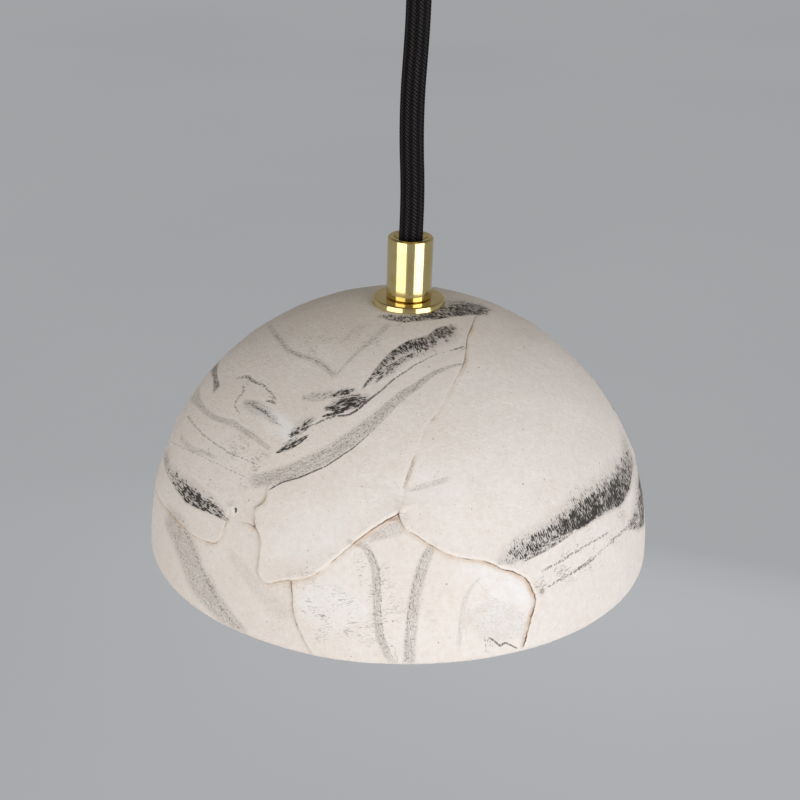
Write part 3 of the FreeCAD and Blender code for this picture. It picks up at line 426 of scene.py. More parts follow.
# Marks on the side away from the photograph, in the same manner: each has a strength and a route of
# (azimuth in degrees, share of the dome's height, half-width)
BACK_CHARCOAL = {
    "right_on": (1.0, [
        (96, 0.53, 1.0), (104, 0.60, 1.6), (114, 0.67, 2.2), (126, 0.66, 2.6), (139, 0.58, 2.2),
        (150, 0.53, 1.0),
    ]),
    "high": (1.0, [(150, 0.86, 0.8), (163, 0.83, 1.8), (176, 0.84, 2.0), (190, 0.80, 0.8)]),
}
BACK_DRAGGED = {
    "left_on": (1.0, [
        (-94, 0.42, 0.8), (-103, 0.50, 1.4), (-114, 0.58, 2.0), (-126, 0.56, 1.8), (-137, 0.64, 0.8),
    ]),
    "low": (1.0, [
        (168, 0.16, 0.6), (180, 0.22, 1.6), (193, 0.31, 2.2), (205, 0.35, 1.8), (214, 0.42, 0.6),
    ]),
}
BACK_SMOKE = {
    "long": (1.0, [
        (96, 0.28, 1.0), (112, 0.34, 2.4), (130, 0.32, 3.0), (148, 0.38, 2.6), (164, 0.47, 1.6),
        (176, 0.52, 0.8),
    ]),
    "fall": (0.9, [(-112, 0.46, 1.0), (-117, 0.34, 1.6), (-119, 0.20, 1.8), (-124, 0.04, 1.4)]),
    "fall_right": (0.8, [(104, 0.20, 0.8), (101, 0.12, 1.4), (103, 0.02, 1.2)]),
}
BACK_HAIRLINES = {
    "over": (0.8, [(126, 0.77, 0.28), (133, 0.75, 0.40), (152, 0.68, 0.35), (170, 0.64, 0.28)]),
    "under": (0.9, [(110, 0.27, 0.28), (131, 0.24, 0.32), (152, 0.31, 0.32), (168, 0.40, 0.26)]),
    "side": (0.7, [
        (-95, 0.38, 0.28), (-104, 0.33, 0.32), (-116, 0.37, 0.32), (-128, 0.45, 0.28), (-141, 0.47, 0.24),
    ]),
    "rise": (0.6, [(-140, 0.20, 0.26), (-150, 0.36, 0.32), (-156, 0.52, 0.32), (-150, 0.66, 0.26)]),
}
BACK_FLECKS = {
    "low": (0.9, [(150, 0.12, 7), (165, 0.13, 9), (180, 0.12, 8)]),
    "side": (0.7, [(100, 0.56, 4), (115, 0.54, 7), (130, 0.50, 6)]),
    "left": (0.8, [(-95, 0.30, 5), (-108, 0.26, 8), (-122, 0.27, 7)]),
}
BACK_CLOUDS = {
    "low": (0.5, [(140, 0.14, 6), (155, 0.18, 9), (170, 0.16, 7)]),
    "left": (0.5, [(-130, 0.52, 5), (-140, 0.55, 8), (-152, 0.50, 6)]),
}
# Seams there as (azimuth, share of height, stain, which also sets the painted shadow under a proud lip), and
# their lips
BACK_SEAMS = {
    "slab": [
        (93, 0.36, 0.2), (102, 0.44, 0.4), (116, 0.47, 0.5), (128, 0.42, 0.7), (136, 0.30, 0.9),
        (150, 0.24, 0.5), (166, 0.29, 0.4), (180, 0.40, 0.8), (192, 0.52, 0.5), (206, 0.56, 0.3),
        (220, 0.50, 0.5), (232, 0.40, 0.8), (246, 0.36, 0.4), (257, 0.40, 0.4), (266, 0.42, 0.3),
    ],
    "upright": [(180, 0.41, 0.7), (176, 0.55, 0.4), (179, 0.68, 0.3), (172, 0.80, 0.5), (170, 0.90, 0.4)],
    "foot": [(136, 0.29, 0.7), (139, 0.18, 0.5), (135, 0.08, 0.4), (138, 0.01, 0.3)],
    "foot_left": [(232, 0.39, 0.7), (229, 0.26, 0.9), (233, 0.13, 0.8), (231, 0.01, 0.5)],
}
BACK_LIPS = {"slab": (0.6, 1), "upright": (0.14, -1), "foot": (0.35, 1), "foot_left": (0.35, 1)}

# Smoothing passes: the few points of the marks at the back are smoothed more than the photograph's
FRONT_PASSES = 2
BACK_PASSES = 40
# The distance between a mark's points, the fewest that it has, and its least and greatest half-width
MARK_SPACING = 0.7
MARK_FEWEST = 4
MARK_LEAST = 0.12
MARK_MOST = 14.0
# How far from a mark points are looked for, in half-widths and a margin, and how many at a time
SEARCH_HALVES = 3.5
SEARCH_MARGIN = 2.0
SEARCH_BATCH = 4000
# A mark is known this many half-widths to each side, and a thin one this far, so that it never falls between
# two points of the mesh
MARK_HALVES = 1.8
MARK_REACH = 1.2
# Past that it fades out at this many times the distance, and past its ends within about these half-widths
MARK_FADE = 1.5
MARK_END = 1.2
# The offset, in half-widths, of a point with no mark near it
NO_MARK = 9.0
# The distance from a seam over which its sides die away
SEAM_FADE = (2.2, 3.2)
# A mark has its full strength from this share of the outer face on, and less on the rim's rounding
FULL_MARK_SHARE = 0.25


# Sizes and colours that a user may change


class ClaySettings(bpy.types.PropertyGroup):
    """The dome's clay."""

    body: bpy.props.StringProperty(
        name="Body", description="Cream clay, as an sRGB hex value", default="ebe7e5"
    )
    warm: bpy.props.StringProperty(name="Warm", description="Warmer clay in patches", default="e0d6cf")
    charcoal: bpy.props.StringProperty(name="Charcoal", description="Dark clay in streaks", default="221f1d")
    smoke: bpy.props.StringProperty(name="Smoke", description="Grey clay in the soft bands", default="86807a")
    fleck: bpy.props.StringProperty(name="Fleck", description="Scattered grey dashes", default="89817a")
    cloud: bpy.props.StringProperty(name="Cloud", description="Pale slip in clouds", default="eeeff2")
    # Tan stain beside the seams, which also serves as painted shadow under a proud slab's lip
    stain_and_shadow: bpy.props.StringProperty(name="Stain", description="Iron stain beside the seams", default="cbb39c")
    crack: bpy.props.StringProperty(name="Crack", description="Open cracks in the seams", default="5a4029")
    chip: bpy.props.StringProperty(name="Chip", description="Bare clay in a chip", default="b9a296")
    # The colour of the painted highlight on a proud slab's lip
    lip: bpy.props.StringProperty(name="Lip", description="Rubbed edge of a proud slab", default="f3ece5")
    grog: bpy.props.StringProperty(name="Grog", description="Dark grains in the clay", default="6a6058")
    undulation: bpy.props.FloatProperty(
        name="Undulation", description="How far the hand-built wall wanders", default=0.35 * MM, unit="LENGTH"
    )


class CordSettings(bpy.types.PropertyGroup):
    """The braided cord."""

    yarn: bpy.props.StringProperty(
        name="Yarn", description="Black yarn, as an sRGB hex value", default="030304"
    )
    # The colour of the painted highlight on the strands' crowns
    lit: bpy.props.StringProperty(name="Lit", description="Yarn that catches the light", default="3b373b")
    carriers: bpy.props.IntProperty(
        name="Carriers", description="Strands that wind each way", default=20, min=8, max=32
    )
    relief: bpy.props.FloatProperty(
        name="Relief", description="Depth between the strands", default=0.30 * MM, unit="LENGTH"
    )


class BrassSettings(bpy.types.PropertyGroup):
    """The turned brass."""

    colour: bpy.props.StringProperty(
        name="Brass", description="Polished brass, as an sRGB hex value", default="e6d7a0"
    )
    tarnish: bpy.props.StringProperty(name="Tarnish", description="Brass that has dulled", default="cdb572")
    roughness: bpy.props.FloatProperty(
        name="Roughness", description="Roughness of the polish", default=0.11, min=0.0, max=1.0,
        subtype="FACTOR",
    )


class StageSettings(bpy.types.PropertyGroup):
    """The floor and the lamps."""

    floor: bpy.props.StringProperty(
        name="Floor", description="Pale floor, as an sRGB hex value", default="babcbf"
    )
    fibre: bpy.props.StringProperty(name="Fibre", description="Darker patches of the floor", default="b1b3b7")
    sky: bpy.props.StringProperty(name="Sky", description="Soft light from all round", default="e8e2d9")
    fill: bpy.props.StringProperty(name="Fill colour", description="Left softbox's light", default="fffcf7")
    floor_level: bpy.props.FloatProperty(
        name="Floor level", description="Floor under the ceiling plane", default=-0.62, unit="LENGTH"
    )
    key_power: bpy.props.FloatProperty(name="Key", description="Right lamp, in watts", default=5.95, min=0.0)
    fill_power: bpy.props.FloatProperty(name="Fill", description="Left lamp, in watts", default=4.4, min=0.0)
    back_power: bpy.props.FloatProperty(
        name="Back", description="Low lamp behind, in watts", default=1.8, min=0.0
    )


SETTINGS = (
    ("pendant_clay", ClaySettings),
    ("pendant_cord", CordSettings),
    ("pendant_brass", BrassSettings),
    ("pendant_stage", StageSettings),
)


# Colour, nodes and materials


def linear(hex_value):
    """An sRGB hex value as linear RGBA."""
    channels = [int(hex_value[i : i + 2], 16) / 255 for i in (0, 2, 4)]
    return [c / 12.92 if c <= 0.04045 else ((c + 0.055) / 1.055) ** 2.4 for c in channels] + [1.0]


def per_mm(size):
    """The texture scale, on coordinates in metres, of a pattern whose features are this far apart."""
    return 1.0 / (size * MM)


def add(tree, kind, links=None, **settings):
    """Adds a node with its settings, then links or sets its inputs."""
    node = tree.nodes.new(kind)
    for name, value in settings.items():
        setattr(node, name, value)
    for socket, source in (links or {}).items():
        if isinstance(source, bpy.types.NodeSocket):
            tree.links.new(source, node.inputs[socket])
        else:
            node.inputs[socket].default_value = source
    return node


def new_material(name, **values):
    """A material with one Principled shader: its tree, shader and coordinates that stay with the piece."""
    material = bpy.data.materials.new(name)
    material.use_nodes = True
    tree = material.node_tree
    shader = tree.nodes["Principled BSDF"]
    for socket, value in values.items():
        shader.inputs[socket.replace("_", " ")].default_value = value
    place = add(tree, "ShaderNodeTexCoord").outputs["Object"]
    return material, tree, shader, place


def two_shades(tree, shader, pattern, pale, dark, smooth, rough):
    """Colours a surface between two shades by a pattern, and lets the same pattern roughen it."""
    shades = {"Factor": pattern, "A": linear(pale), "B": linear(dark)}
    colour = add(tree, "ShaderNodeMix", shades, data_type="RGBA")
    tree.links.new(colour.outputs["Result"], shader.inputs["Base Color"])
    polish = add(tree, "ShaderNodeMapRange", {"Value": pattern, "To Min": smooth, "To Max": rough})
    tree.links.new(polish.outputs[0], shader.inputs["Roughness"])


def mark_sockets(tree, name):
    """A mark's offset across in half-widths, its run and half-width in millimetres, and its strength."""
    attribute = add(tree, "ShaderNodeAttribute", attribute_name=name)
    parts = add(tree, "ShaderNodeSeparateXYZ", {0: attribute.outputs["Vector"]})
    return parts.outputs["X"], parts.outputs["Y"], attribute.outputs["Alpha"], parts.outputs["Z"]


def brushed_noise(tree, offset, run, half, along_mm, across_mm, detail=3.0, distortion=0.0):
    """Noise in strokes of a given size along and across a mark."""
    along = add(tree, "ShaderNodeMath", {0: run, 1: 1 / along_mm}, operation="MULTIPLY")
    aside = add(tree, "ShaderNodeMath", {0: offset, 1: half}, operation="MULTIPLY")
    across = add(tree, "ShaderNodeMath", {0: aside.outputs[0], 1: 1 / across_mm}, operation="MULTIPLY")
    place = add(tree, "ShaderNodeCombineXYZ", {"X": along.outputs[0], "Y": across.outputs[0]})
    strokes = add(tree, "ShaderNodeTexNoise", {
        "Vector": place.outputs[0], "Scale": 1.0, "Detail": detail, "Roughness": 0.6,
        "Distortion": distortion,
    })
    return strokes.outputs["Fac"]


def inside_mark(tree, offset, ragged, cover, wander, soft, middle_noise=0.5):
    """A cover that ends at the mark's ragged edge, frayed by a noise about its middle value."""
    middle = add(tree, "ShaderNodeMath", {0: offset}, operation="ABSOLUTE").outputs[0]
    frayed = add(tree, "ShaderNodeMath", {0: ragged, 1: wander, 2: middle}, operation="MULTIPLY_ADD")
    edge = 1.0 + wander * middle_noise
    inside = add(tree, "ShaderNodeMapRange", {
        "Value": frayed.outputs[0], "From Min": edge + soft, "From Max": edge - soft, "To Max": cover,
    }, interpolation_type="SMOOTHSTEP")
    return inside.outputs[0]


def smoke_cover(tree, ragged):
    """Soft grey bands: a wash streaked along its length, with a few fine grains and frayed sides."""
    offset, run, half, strength = mark_sockets(tree, "smoke")
    streaks = brushed_noise(tree, offset, run, half, along_mm=5.0, across_mm=0.32, detail=4.0, distortion=0.4)
    wash = add(tree, "ShaderNodeMapRange", {
        "Value": streaks, "From Min": 0.30, "From Max": 0.70, "To Max": 0.70,
    }).outputs[0]
    grain = brushed_noise(tree, offset, run, half, along_mm=0.7, across_mm=0.36)
    grains = add(tree, "ShaderNodeMapRange", {"Value": grain, "From Min": 0.50, "From Max": 0.68}).outputs[0]
    both = add(tree, "ShaderNodeMath", {0: wash, 1: grains}).outputs[0]
    cover = add(tree, "ShaderNodeMath", {0: both, 1: strength}, operation="MULTIPLY").outputs[0]
    frayed = add(tree, "ShaderNodeMath", {0: streaks, 1: ragged}).outputs[0]
    return inside_mark(tree, offset, frayed, cover, wander=0.8, soft=0.34, middle_noise=1.0)


def charcoal_cover(tree, name, ragged, clouds, along_mm, across_mm):
    """Dry dark bands in broken strokes: dense up to a toothed edge on one side, greying out on the other."""
    offset, run, half, strength = mark_sockets(tree, name)
    strokes = brushed_noise(tree, offset, run, half, along_mm, across_mm)
    frayed = add(tree, "ShaderNodeMath", {0: ragged, 1: 0.7, 2: offset}, operation="MULTIPLY_ADD").outputs[0]
    toothed = add(tree, "ShaderNodeMath", {0: strokes, 1: 0.8, 2: offset}, operation="MULTIPLY_ADD")
    falling = add(tree, "ShaderNodeMapRange", {
        "Value": frayed, "From Min": -1.5, "From Max": 0.15, "To Max": strength,
    }).outputs[0]
    dense = add(tree, "ShaderNodeMapRange", {
        "Value": toothed.outputs[0], "From Min": 1.62, "From Max": 1.22, "To Max": falling,
    }, interpolation_type="SMOOTHSTEP").outputs[0]
    # Strokes, blotches and ragged grains add up to a level, which the band's density lifts into the dark
    level = add(tree, "ShaderNodeMath", {0: clouds, 1: 0.22, 2: strokes}, operation="MULTIPLY_ADD").outputs[0]
    level = add(tree, "ShaderNodeMath", {0: ragged, 1: 0.5, 2: level}, operation="MULTIPLY_ADD").outputs[0]
    level = add(tree, "ShaderNodeMath", {0: dense, 1: 0.46, 2: level}, operation="MULTIPLY_ADD").outputs[0]
    cover = add(tree, "ShaderNodeMapRange", {
        "Value": level, "From Min": 1.16, "From Max": 1.27, "To Max": 0.97,
    }, interpolation_type="SMOOTHSTEP").outputs[0]
    wash = add(tree, "ShaderNodeMapRange", {"Value": dense, "From Min": 0.1, "To Max": 0.33}).outputs[0]
    return add(tree, "ShaderNodeMath", {0: cover, 1: wash}, operation="MAXIMUM").outputs[0]


def hairline_cover(tree, ragged):
    """Thin dark lines, unbroken where strong and dotted where weak."""
    offset, run, half, strength = mark_sockets(tree, "hairline")
    breaks = brushed_noise(tree, offset, run, half, along_mm=0.8, across_mm=0.6)
    start = add(tree, "ShaderNodeMath", {0: strength, 1: -0.50, 2: 0.76}, operation="MULTIPLY_ADD").outputs[0]
    end = add(tree, "ShaderNodeMath", {0: start, 1: 0.14}).outputs[0]
    cover = add(tree, "ShaderNodeMapRange", {
        "Value": breaks, "From Min": start, "From Max": end, "To Max": strength,
    }, interpolation_type="SMOOTHSTEP")
    return inside_mark(tree, offset, ragged, cover.outputs[0], wander=1.2, soft=0.5)


def fleck_cover(tree, ragged, clouds):
    """Short dashes that wander along a mark, in loose clusters."""
    offset, run, half, strength = mark_sockets(tree, "fleck")
    dashes = brushed_noise(tree, offset, run, half, along_mm=1.7, across_mm=0.42, distortion=1.6)
    level = add(tree, "ShaderNodeMath", {0: clouds, 1: 0.6, 2: dashes}, operation="MULTIPLY_ADD").outputs[0]
    cover = add(tree, "ShaderNodeMapRange", {
        "Value": level, "From Min": 0.88, "From Max": 1.02, "To Max": strength,
    }, interpolation_type="SMOOTHSTEP")
    return inside_mark(tree, offset, ragged, cover.outputs[0], wander=0.5, soft=0.5)


def chip_cover(tree, ragged):
    """Small chips with ragged sides."""
    offset, _, _, strength = mark_sockets(tree, "chip")
    return inside_mark(tree, offset, ragged, strength, wander=0.8, soft=0.35)


def cloud_cover(tree, clouds):
    """Faint clouds of pale slip."""
    offset, _, _, strength = mark_sockets(tree, "cloud")
    cover = add(tree, "ShaderNodeMapRange", {
        "Value": clouds, "From Min": 0.25, "From Max": 0.60, "To Max": strength,
    }, interpolation_type="SMOOTHSTEP")
    return inside_mark(tree, offset, clouds, cover.outputs[0], wander=0.9, soft=0.6)


def seam_covers(tree, place, ragged, clouds):
    """A seam's tan stain and painted shadow on its low side, its crack where open, and a painted highlight on
    the lip of its proud side.
    """
    # In a mark's four places, a seam keeps its distance, its lip's height, its signed distance and the
    # strength of its stain and painted shadow
    distance, height, side, strength = mark_sockets(tree, "seam")
    breaks = add(tree, "ShaderNodeTexNoise", {
        "Vector": place, "Scale": per_mm(3.0), "Detail": 2.0,
    }).outputs[0]
    centred = add(tree, "ShaderNodeMath", {0: ragged, 1: 0.5}, operation="SUBTRACT").outputs[0]
    across = add(tree, "ShaderNodeMath", {0: centred, 1: 0.8, 2: side}, operation="MULTIPLY_ADD").outputs[0]
    near = add(tree, "ShaderNodeMapRange", {"Value": distance, "From Min": 2.6, "From Max": 1.8}).outputs[0]
    shown = add(tree, "ShaderNodeMath", {0: near, 1: strength}, operation="MULTIPLY").outputs[0]
    blotched = add(tree, "ShaderNodeMapRange", {
        "Value": clouds, "From Min": 0.35, "From Max": 0.62, "To Min": 0.2,
    }).outputs[0]
    # A tan stain on the low side, which also stands for painted shadow under the proud lip
    low_side = add(tree, "ShaderNodeMapRange", {
        "Value": across, "From Min": -1.5, "From Max": -0.1, "To Max": shown,
    }, interpolation_type="SMOOTHSTEP").outputs[0]
    stain_and_shadow = add(tree, "ShaderNodeMapRange", {
        "Value": across, "From Min": 0.35, "From Max": 0.0, "To Max": low_side,
    }, interpolation_type="SMOOTHSTEP").outputs[0]
    stain_and_shadow = add(tree, "ShaderNodeMath", {0: stain_and_shadow, 1: blotched}, operation="MULTIPLY").outputs[0]
    gape = add(tree, "ShaderNodeMath", {0: breaks, 1: 1.5, 2: shown}, operation="MULTIPLY_ADD").outputs[0]
    gape = add(tree, "ShaderNodeMapRange", {"Value": gape, "From Min": 1.25, "From Max": 1.95}).outputs[0]
    middle = add(tree, "ShaderNodeMath", {0: across}, operation="ABSOLUTE").outputs[0]
    crack = add(tree, "ShaderNodeMapRange", {
        "Value": middle, "From Min": 0.22, "From Max": 0.06, "To Max": gape,
    }, interpolation_type="SMOOTHSTEP").outputs[0]
    # A painted highlight on the proud slab's lip, as strong as the lip stands high
    lip = add(tree, "ShaderNodeMapRange", {
        "Value": across, "From Min": 1.3, "From Max": 0.3, "To Max": near,
    }, interpolation_type="SMOOTHSTEP").outputs[0]
    lip = add(tree, "ShaderNodeMapRange", {
        "Value": across, "From Min": 0.0, "From Max": 0.25, "To Max": lip,
    }, interpolation_type="SMOOTHSTEP").outputs[0]
    lip = add(tree, "ShaderNodeMath", {0: lip, 1: height}, operation="MULTIPLY").outputs[0]
    lip = add(tree, "ShaderNodeMath", {0: lip, 1: 0.65}, operation="MULTIPLY").outputs[0]
    return stain_and_shadow, crack, lip


def grog_cover(tree, place, spacing, share, depth):
    """Dark grains in the clay, about a fifth as wide as they are apart, of which a share shows."""
    grains = add(tree, "ShaderNodeTexVoronoi", {"Vector": place, "Scale": per_mm(spacing)})
    pick = add(tree, "ShaderNodeSeparateColor", {0: grains.outputs["Color"]})
    chosen = add(tree, "ShaderNodeMapRange", {
        "Value": pick.outputs[0], "From Min": 1 - share, "To Max": depth,
    })
    dot = add(tree, "ShaderNodeMapRange", {
        "Value": grains.outputs["Distance"], "From Min": 0.22, "From Max": 0.08, "To Max": chosen.outputs[0],
    })
    return dot.outputs[0]


def clay_marbled():
    """Unglazed marbled stoneware, slab built and sanded: a chalky, matte body with dry charcoal streaks."""
    clay = bpy.context.scene.pendant_clay
    material, tree, shader, place = new_material(
        "stoneware_marbled_unglazed", IOR=1.5, Specular_IOR_Level=0.35
    )
    # Two creams in patches the size of a thumb print, mottled by the noise of 1.6 mm that frays all marks
    patches = add(tree, "ShaderNodeTexNoise", {
        "Vector": place, "Scale": per_mm(22), "Detail": 4.0, "Roughness": 0.6,
    }).outputs[0]
    ragged = add(tree, "ShaderNodeTexNoise", {
        "Vector": place, "Scale": per_mm(1.6), "Detail": 5.0, "Roughness": 0.7,
    }).outputs[0]
    mottle = add(tree, "ShaderNodeMath", {0: ragged, 1: 1.8, 2: -0.9}, operation="MULTIPLY_ADD").outputs[0]
    mottle = add(tree, "ShaderNodeMath", {0: mottle, 1: patches}, use_clamp=True).outputs[0]
    # Clouds of 6 mm blotch the marks, and a chalky grain of 0.8 mm covers all
    clouds = add(tree, "ShaderNodeTexNoise", {"Vector": place, "Scale": per_mm(6), "Detail": 3.0}).outputs[0]
    grain = add(tree, "ShaderNodeTexNoise", {
        "Vector": place, "Scale": per_mm(0.8), "Detail": 6.0, "Roughness": 0.65,
    }).outputs[0]
    stain_and_shadow, crack, lip = seam_covers(tree, place, ragged, clouds)
    fine = grog_cover(tree, place, spacing=0.9, share=0.34, depth=0.50)
    coarse = grog_cover(tree, place, spacing=1.5, share=0.05, depth=0.8)
    colour = linear(clay.body)
    # The lip layer is a painted highlight, and the stain layer a stain with painted shadow under the lip
    for cover, shade in (
        (mottle, clay.warm),
        (cloud_cover(tree, clouds), clay.cloud),
        (smoke_cover(tree, ragged), clay.smoke),
        (fleck_cover(tree, ragged, clouds), clay.fleck),
        (charcoal_cover(tree, "charcoal", ragged, clouds, along_mm=0.30, across_mm=1.6), clay.charcoal),
        (charcoal_cover(tree, "dragged", ragged, clouds, along_mm=2.6, across_mm=0.34), clay.charcoal),
        (charcoal_cover(tree, "beside", ragged, clouds, along_mm=1.5, across_mm=0.36), clay.charcoal),
        (hairline_cover(tree, ragged), clay.charcoal),
        (lip, clay.lip),
        (stain_and_shadow, clay.stain_and_shadow),
        (chip_cover(tree, ragged), clay.chip),
        (crack, clay.crack),
        (fine, clay.grog),
        (coarse, clay.grog),
    ):
        layer = {"Factor": cover, "A": colour, "B": linear(shade)}
        colour = add(tree, "ShaderNodeMix", layer, data_type="RGBA").outputs["Result"]
    tree.links.new(colour, shader.inputs["Base Color"])

    # The grain roughens the body, the coarse grog leaves pores and the cracks sink
    rough = add(tree, "ShaderNodeMapRange", {"Value": grain, "To Min": 0.64, "To Max": 0.88})
    tree.links.new(rough.outputs[0], shader.inputs["Roughness"])
    height = add(tree, "ShaderNodeMath", {0: ragged, 1: 1.4, 2: grain}, operation="MULTIPLY_ADD").outputs[0]
    height = add(tree, "ShaderNodeMath", {0: crack, 1: -1.2, 2: height}, operation="MULTIPLY_ADD").outputs[0]
    height = add(tree, "ShaderNodeMath", {0: coarse, 1: -0.5, 2: height}, operation="MULTIPLY_ADD").outputs[0]
    bump = add(tree, "ShaderNodeBump", {"Height": height, "Strength": 0.4, "Distance": 0.35 * MM})
    tree.links.new(bump.outputs[0], shader.inputs["Normal"])
    return material


def brass_turned():
    """Brass, turned on a lathe and polished: bright, with faint rings that the tool left round it."""
    brass = bpy.context.scene.pendant_brass
    material, tree, shader, place = new_material("brass_turned_polished", Metallic=1.0)
    tarnish = add(tree, "ShaderNodeTexNoise", {"Vector": place, "Scale": per_mm(5), "Detail": 4.0}).outputs[0]
    two_shades(
        tree, shader, tarnish, brass.colour, brass.tarnish,
        smooth=brass.roughness - 0.04, rough=brass.roughness + 0.08,
    )
    # Tool rings are about 0.1 mm apart, and are drawn 0.35 mm apart so that they show
    round_place = add(tree, "ShaderNodeMapping", {"Vector": place, "Scale": (0.02, 0.02, 1.0)}).outputs[0]
    rings = add(tree, "ShaderNodeTexNoise", {"Vector": round_place, "Scale": per_mm(0.35), "Detail": 2.0})
    bump = add(tree, "ShaderNodeBump", {
        "Height": rings.outputs["Fac"], "Strength": 0.12, "Distance": 0.02 * MM,
    })
    tree.links.new(bump.outputs[0], shader.inputs["Normal"])
    return material


def brass_stamped():
    """Brass, stamped and left as made: duller, with a slight bloom."""
    material, tree, shader, place = new_material("brass_stamped", Metallic=1.0)
    bloom = add(tree, "ShaderNodeTexNoise", {"Vector": place, "Scale": per_mm(2.5), "Detail": 5.0}).outputs[0]
    two_shades(tree, shader, bloom, "cdb06a", "a98a4c", smooth=0.24, rough=0.45)
    return material


def steel_zinc():
    """Steel, pressed and zinc plated: a pale grey metal with a faint blue and mottled sheen."""
    material, tree, shader, place = new_material("steel_zinc_plated", Metallic=1.0)
    mottle = add(tree, "ShaderNodeTexNoise", {
        "Vector": place, "Scale": per_mm(3), "Detail": 5.0, "Roughness": 0.6,
    }).outputs[0]
    two_shades(tree, shader, mottle, "bcc0c4", "979ba1", smooth=0.28, rough=0.50)
    return material


def rayon_braided():
    """Rayon yarn, braided over the cord: near black, with a painted highlight on each strand's crown and
    painted shade between the strands.
    """
    cord = bpy.context.scene.pendant_cord
    material, tree, shader, place = new_material(
        "rayon_braided_black", Sheen_Weight=0.01, Sheen_Roughness=0.5, IOR=1.47, Specular_IOR_Level=0.07
    )
    strand_painted_light = add(tree, "ShaderNodeAttribute", attribute_name="strand_painted_light").outputs["Fac"]
    fibre = add(tree, "ShaderNodeTexNoise", {
        "Vector": place, "Scale": per_mm(0.4), "Detail": 4.0, "Roughness": 0.7,
    }).outputs[0]
    # The strands' crowns take a painted highlight in the lit yarn's colour, and the gaps stay dark as painted
    # shade
    lit = add(tree, "ShaderNodeMapRange", {"Value": strand_painted_light, "From Min": 0.6, "To Max": 1.5}).outputs[0]
    lit = add(tree, "ShaderNodeMath", {0: lit, 1: fibre}, operation="MULTIPLY").outputs[0]
    colour = add(tree, "ShaderNodeMix", {
        "Factor": lit, "A": linear(cord.yarn), "B": linear(cord.lit),
    }, data_type="RGBA")
    tree.links.new(colour.outputs["Result"], shader.inputs["Base Color"])
    rough = add(tree, "ShaderNodeMapRange", {"Value": fibre, "To Min": 0.50, "To Max": 0.80})
    tree.links.new(rough.outputs[0], shader.inputs["Roughness"])
    bump = add(tree, "ShaderNodeBump", {"Height": fibre, "Strength": 0.25, "Distance": 0.08 * MM})
    tree.links.new(bump.outputs[0], shader.inputs["Normal"])
    return material


def pvc_striped():
    """PVC insulation, extruded: bright green and yellow in turn, with a soft shine."""
    material, tree, shader, place = new_material("pvc_extruded_green_yellow", Roughness=0.38)
    # The texture's own factor of 20 is taken out, so that green and yellow change about every 7.5 mm
    bands = add(tree, "ShaderNodeTexWave", {
        "Vector": place, "Scale": per_mm(2.4) / 20, "Distortion": 0.6, "Detail": 1.0,
    }, wave_type="BANDS", bands_direction="X")
    stripe = add(tree, "ShaderNodeMapRange", {
        "Value": bands.outputs["Fac"], "From Min": 0.45, "From Max": 0.55,
    })
    colour = add(tree, "ShaderNodeMix", {
        "Factor": stripe.outputs[0], "A": linear("3f8a3a"), "B": linear("d8c22f"),
    }, data_type="RGBA")
    tree.links.new(colour.outputs["Result"], shader.inputs["Base Color"])
    return material


def opal_moulded():
    """Opal polycarbonate, moulded: milky white that lets light into its surface."""
    material, tree, shader, place = new_material(
        "polycarbonate_opal_moulded", IOR=1.58, Subsurface_Weight=0.35, Subsurface_Scale=2.0 * MM
    )
    haze = add(tree, "ShaderNodeTexNoise", {"Vector": place, "Scale": per_mm(6), "Detail": 3.0}).outputs[0]
    two_shades(tree, shader, haze, "f3f1ea", "e9e6dd", smooth=0.30, rough=0.40)
    return material


def grained(name, pale, dark, grain, smooth, rough, **values):
    """What moulded, pressed and plated finishes share: two close shades in a fine grain, slightly raised."""
    material, tree, shader, place = new_material(name, **values)
    texture = add(tree, "ShaderNodeTexNoise", {
        "Vector": place, "Scale": per_mm(grain), "Detail": 4.0, "Roughness": 0.6,
    }).outputs[0]
    two_shades(tree, shader, texture, pale, dark, smooth, rough)
    bump = add(tree, "ShaderNodeBump", {"Height": texture, "Strength": 0.15, "Distance": 0.05 * MM})
    tree.links.new(bump.outputs[0], shader.inputs["Normal"])
    return material


def rubber_black():
    """Rubber, moulded: black and dull, with a dusty grain."""
    return grained("rubber_moulded_black", "1b1b1b", "242424", grain=1.2, smooth=0.62, rough=0.8)


def nylon_white():
    """Nylon, moulded: a warm white with a waxy half-shine."""
    return grained("nylon_moulded_white", "e6e5df", "dad9d2", grain=2.0, smooth=0.42, rough=0.58)


def pvc_brown():
    """PVC insulation, extruded: plain brown with a soft shine."""
    return grained("pvc_extruded_brown", "5a3320", "4b2a1a", grain=1.5, smooth=0.34, rough=0.46)


def pvc_blue():
    """PVC insulation, extruded: plain blue with a soft shine."""
    return grained("pvc_extruded_blue", "2f63a8", "28558f", grain=1.5, smooth=0.34, rough=0.46)


def phenolic_black():
    """Phenolic resin, moulded: brownish black, with the shine of its polished mould."""
    return grained("phenolic_moulded_black", "1c1a19", "26231f", grain=3.0, smooth=0.28, rough=0.42)


def steatite_pressed():
    """Steatite, pressed and fired: a creamy, unglazed ceramic with a fine grain."""
    return grained("steatite_pressed", "e8e3d8", "d8d1c2", grain=1.4, smooth=0.45, rough=0.62)


def nickel_plated():
    """Brass, rolled and nickel plated: a warm grey metal with a clear shine."""
    return grained(
        "nickel_plated_shell", "c9c5bd", "b3aea5", grain=2.0, smooth=0.20, rough=0.34, Metallic=1.0
    )


def solder_drop():
    """Solder, set from a drop: a soft grey metal, frosted as it cooled."""
    return grained("solder_drop", "b5b5b2", "9c9c99", grain=0.8, smooth=0.30, rough=0.45, Metallic=1.0)


def glass_black():
    """Black glass, pressed into the cap: deep and glossy."""
    return grained("glass_pressed_black", "0e0e0f", "161617", grain=1.0, smooth=0.10, rough=0.20)


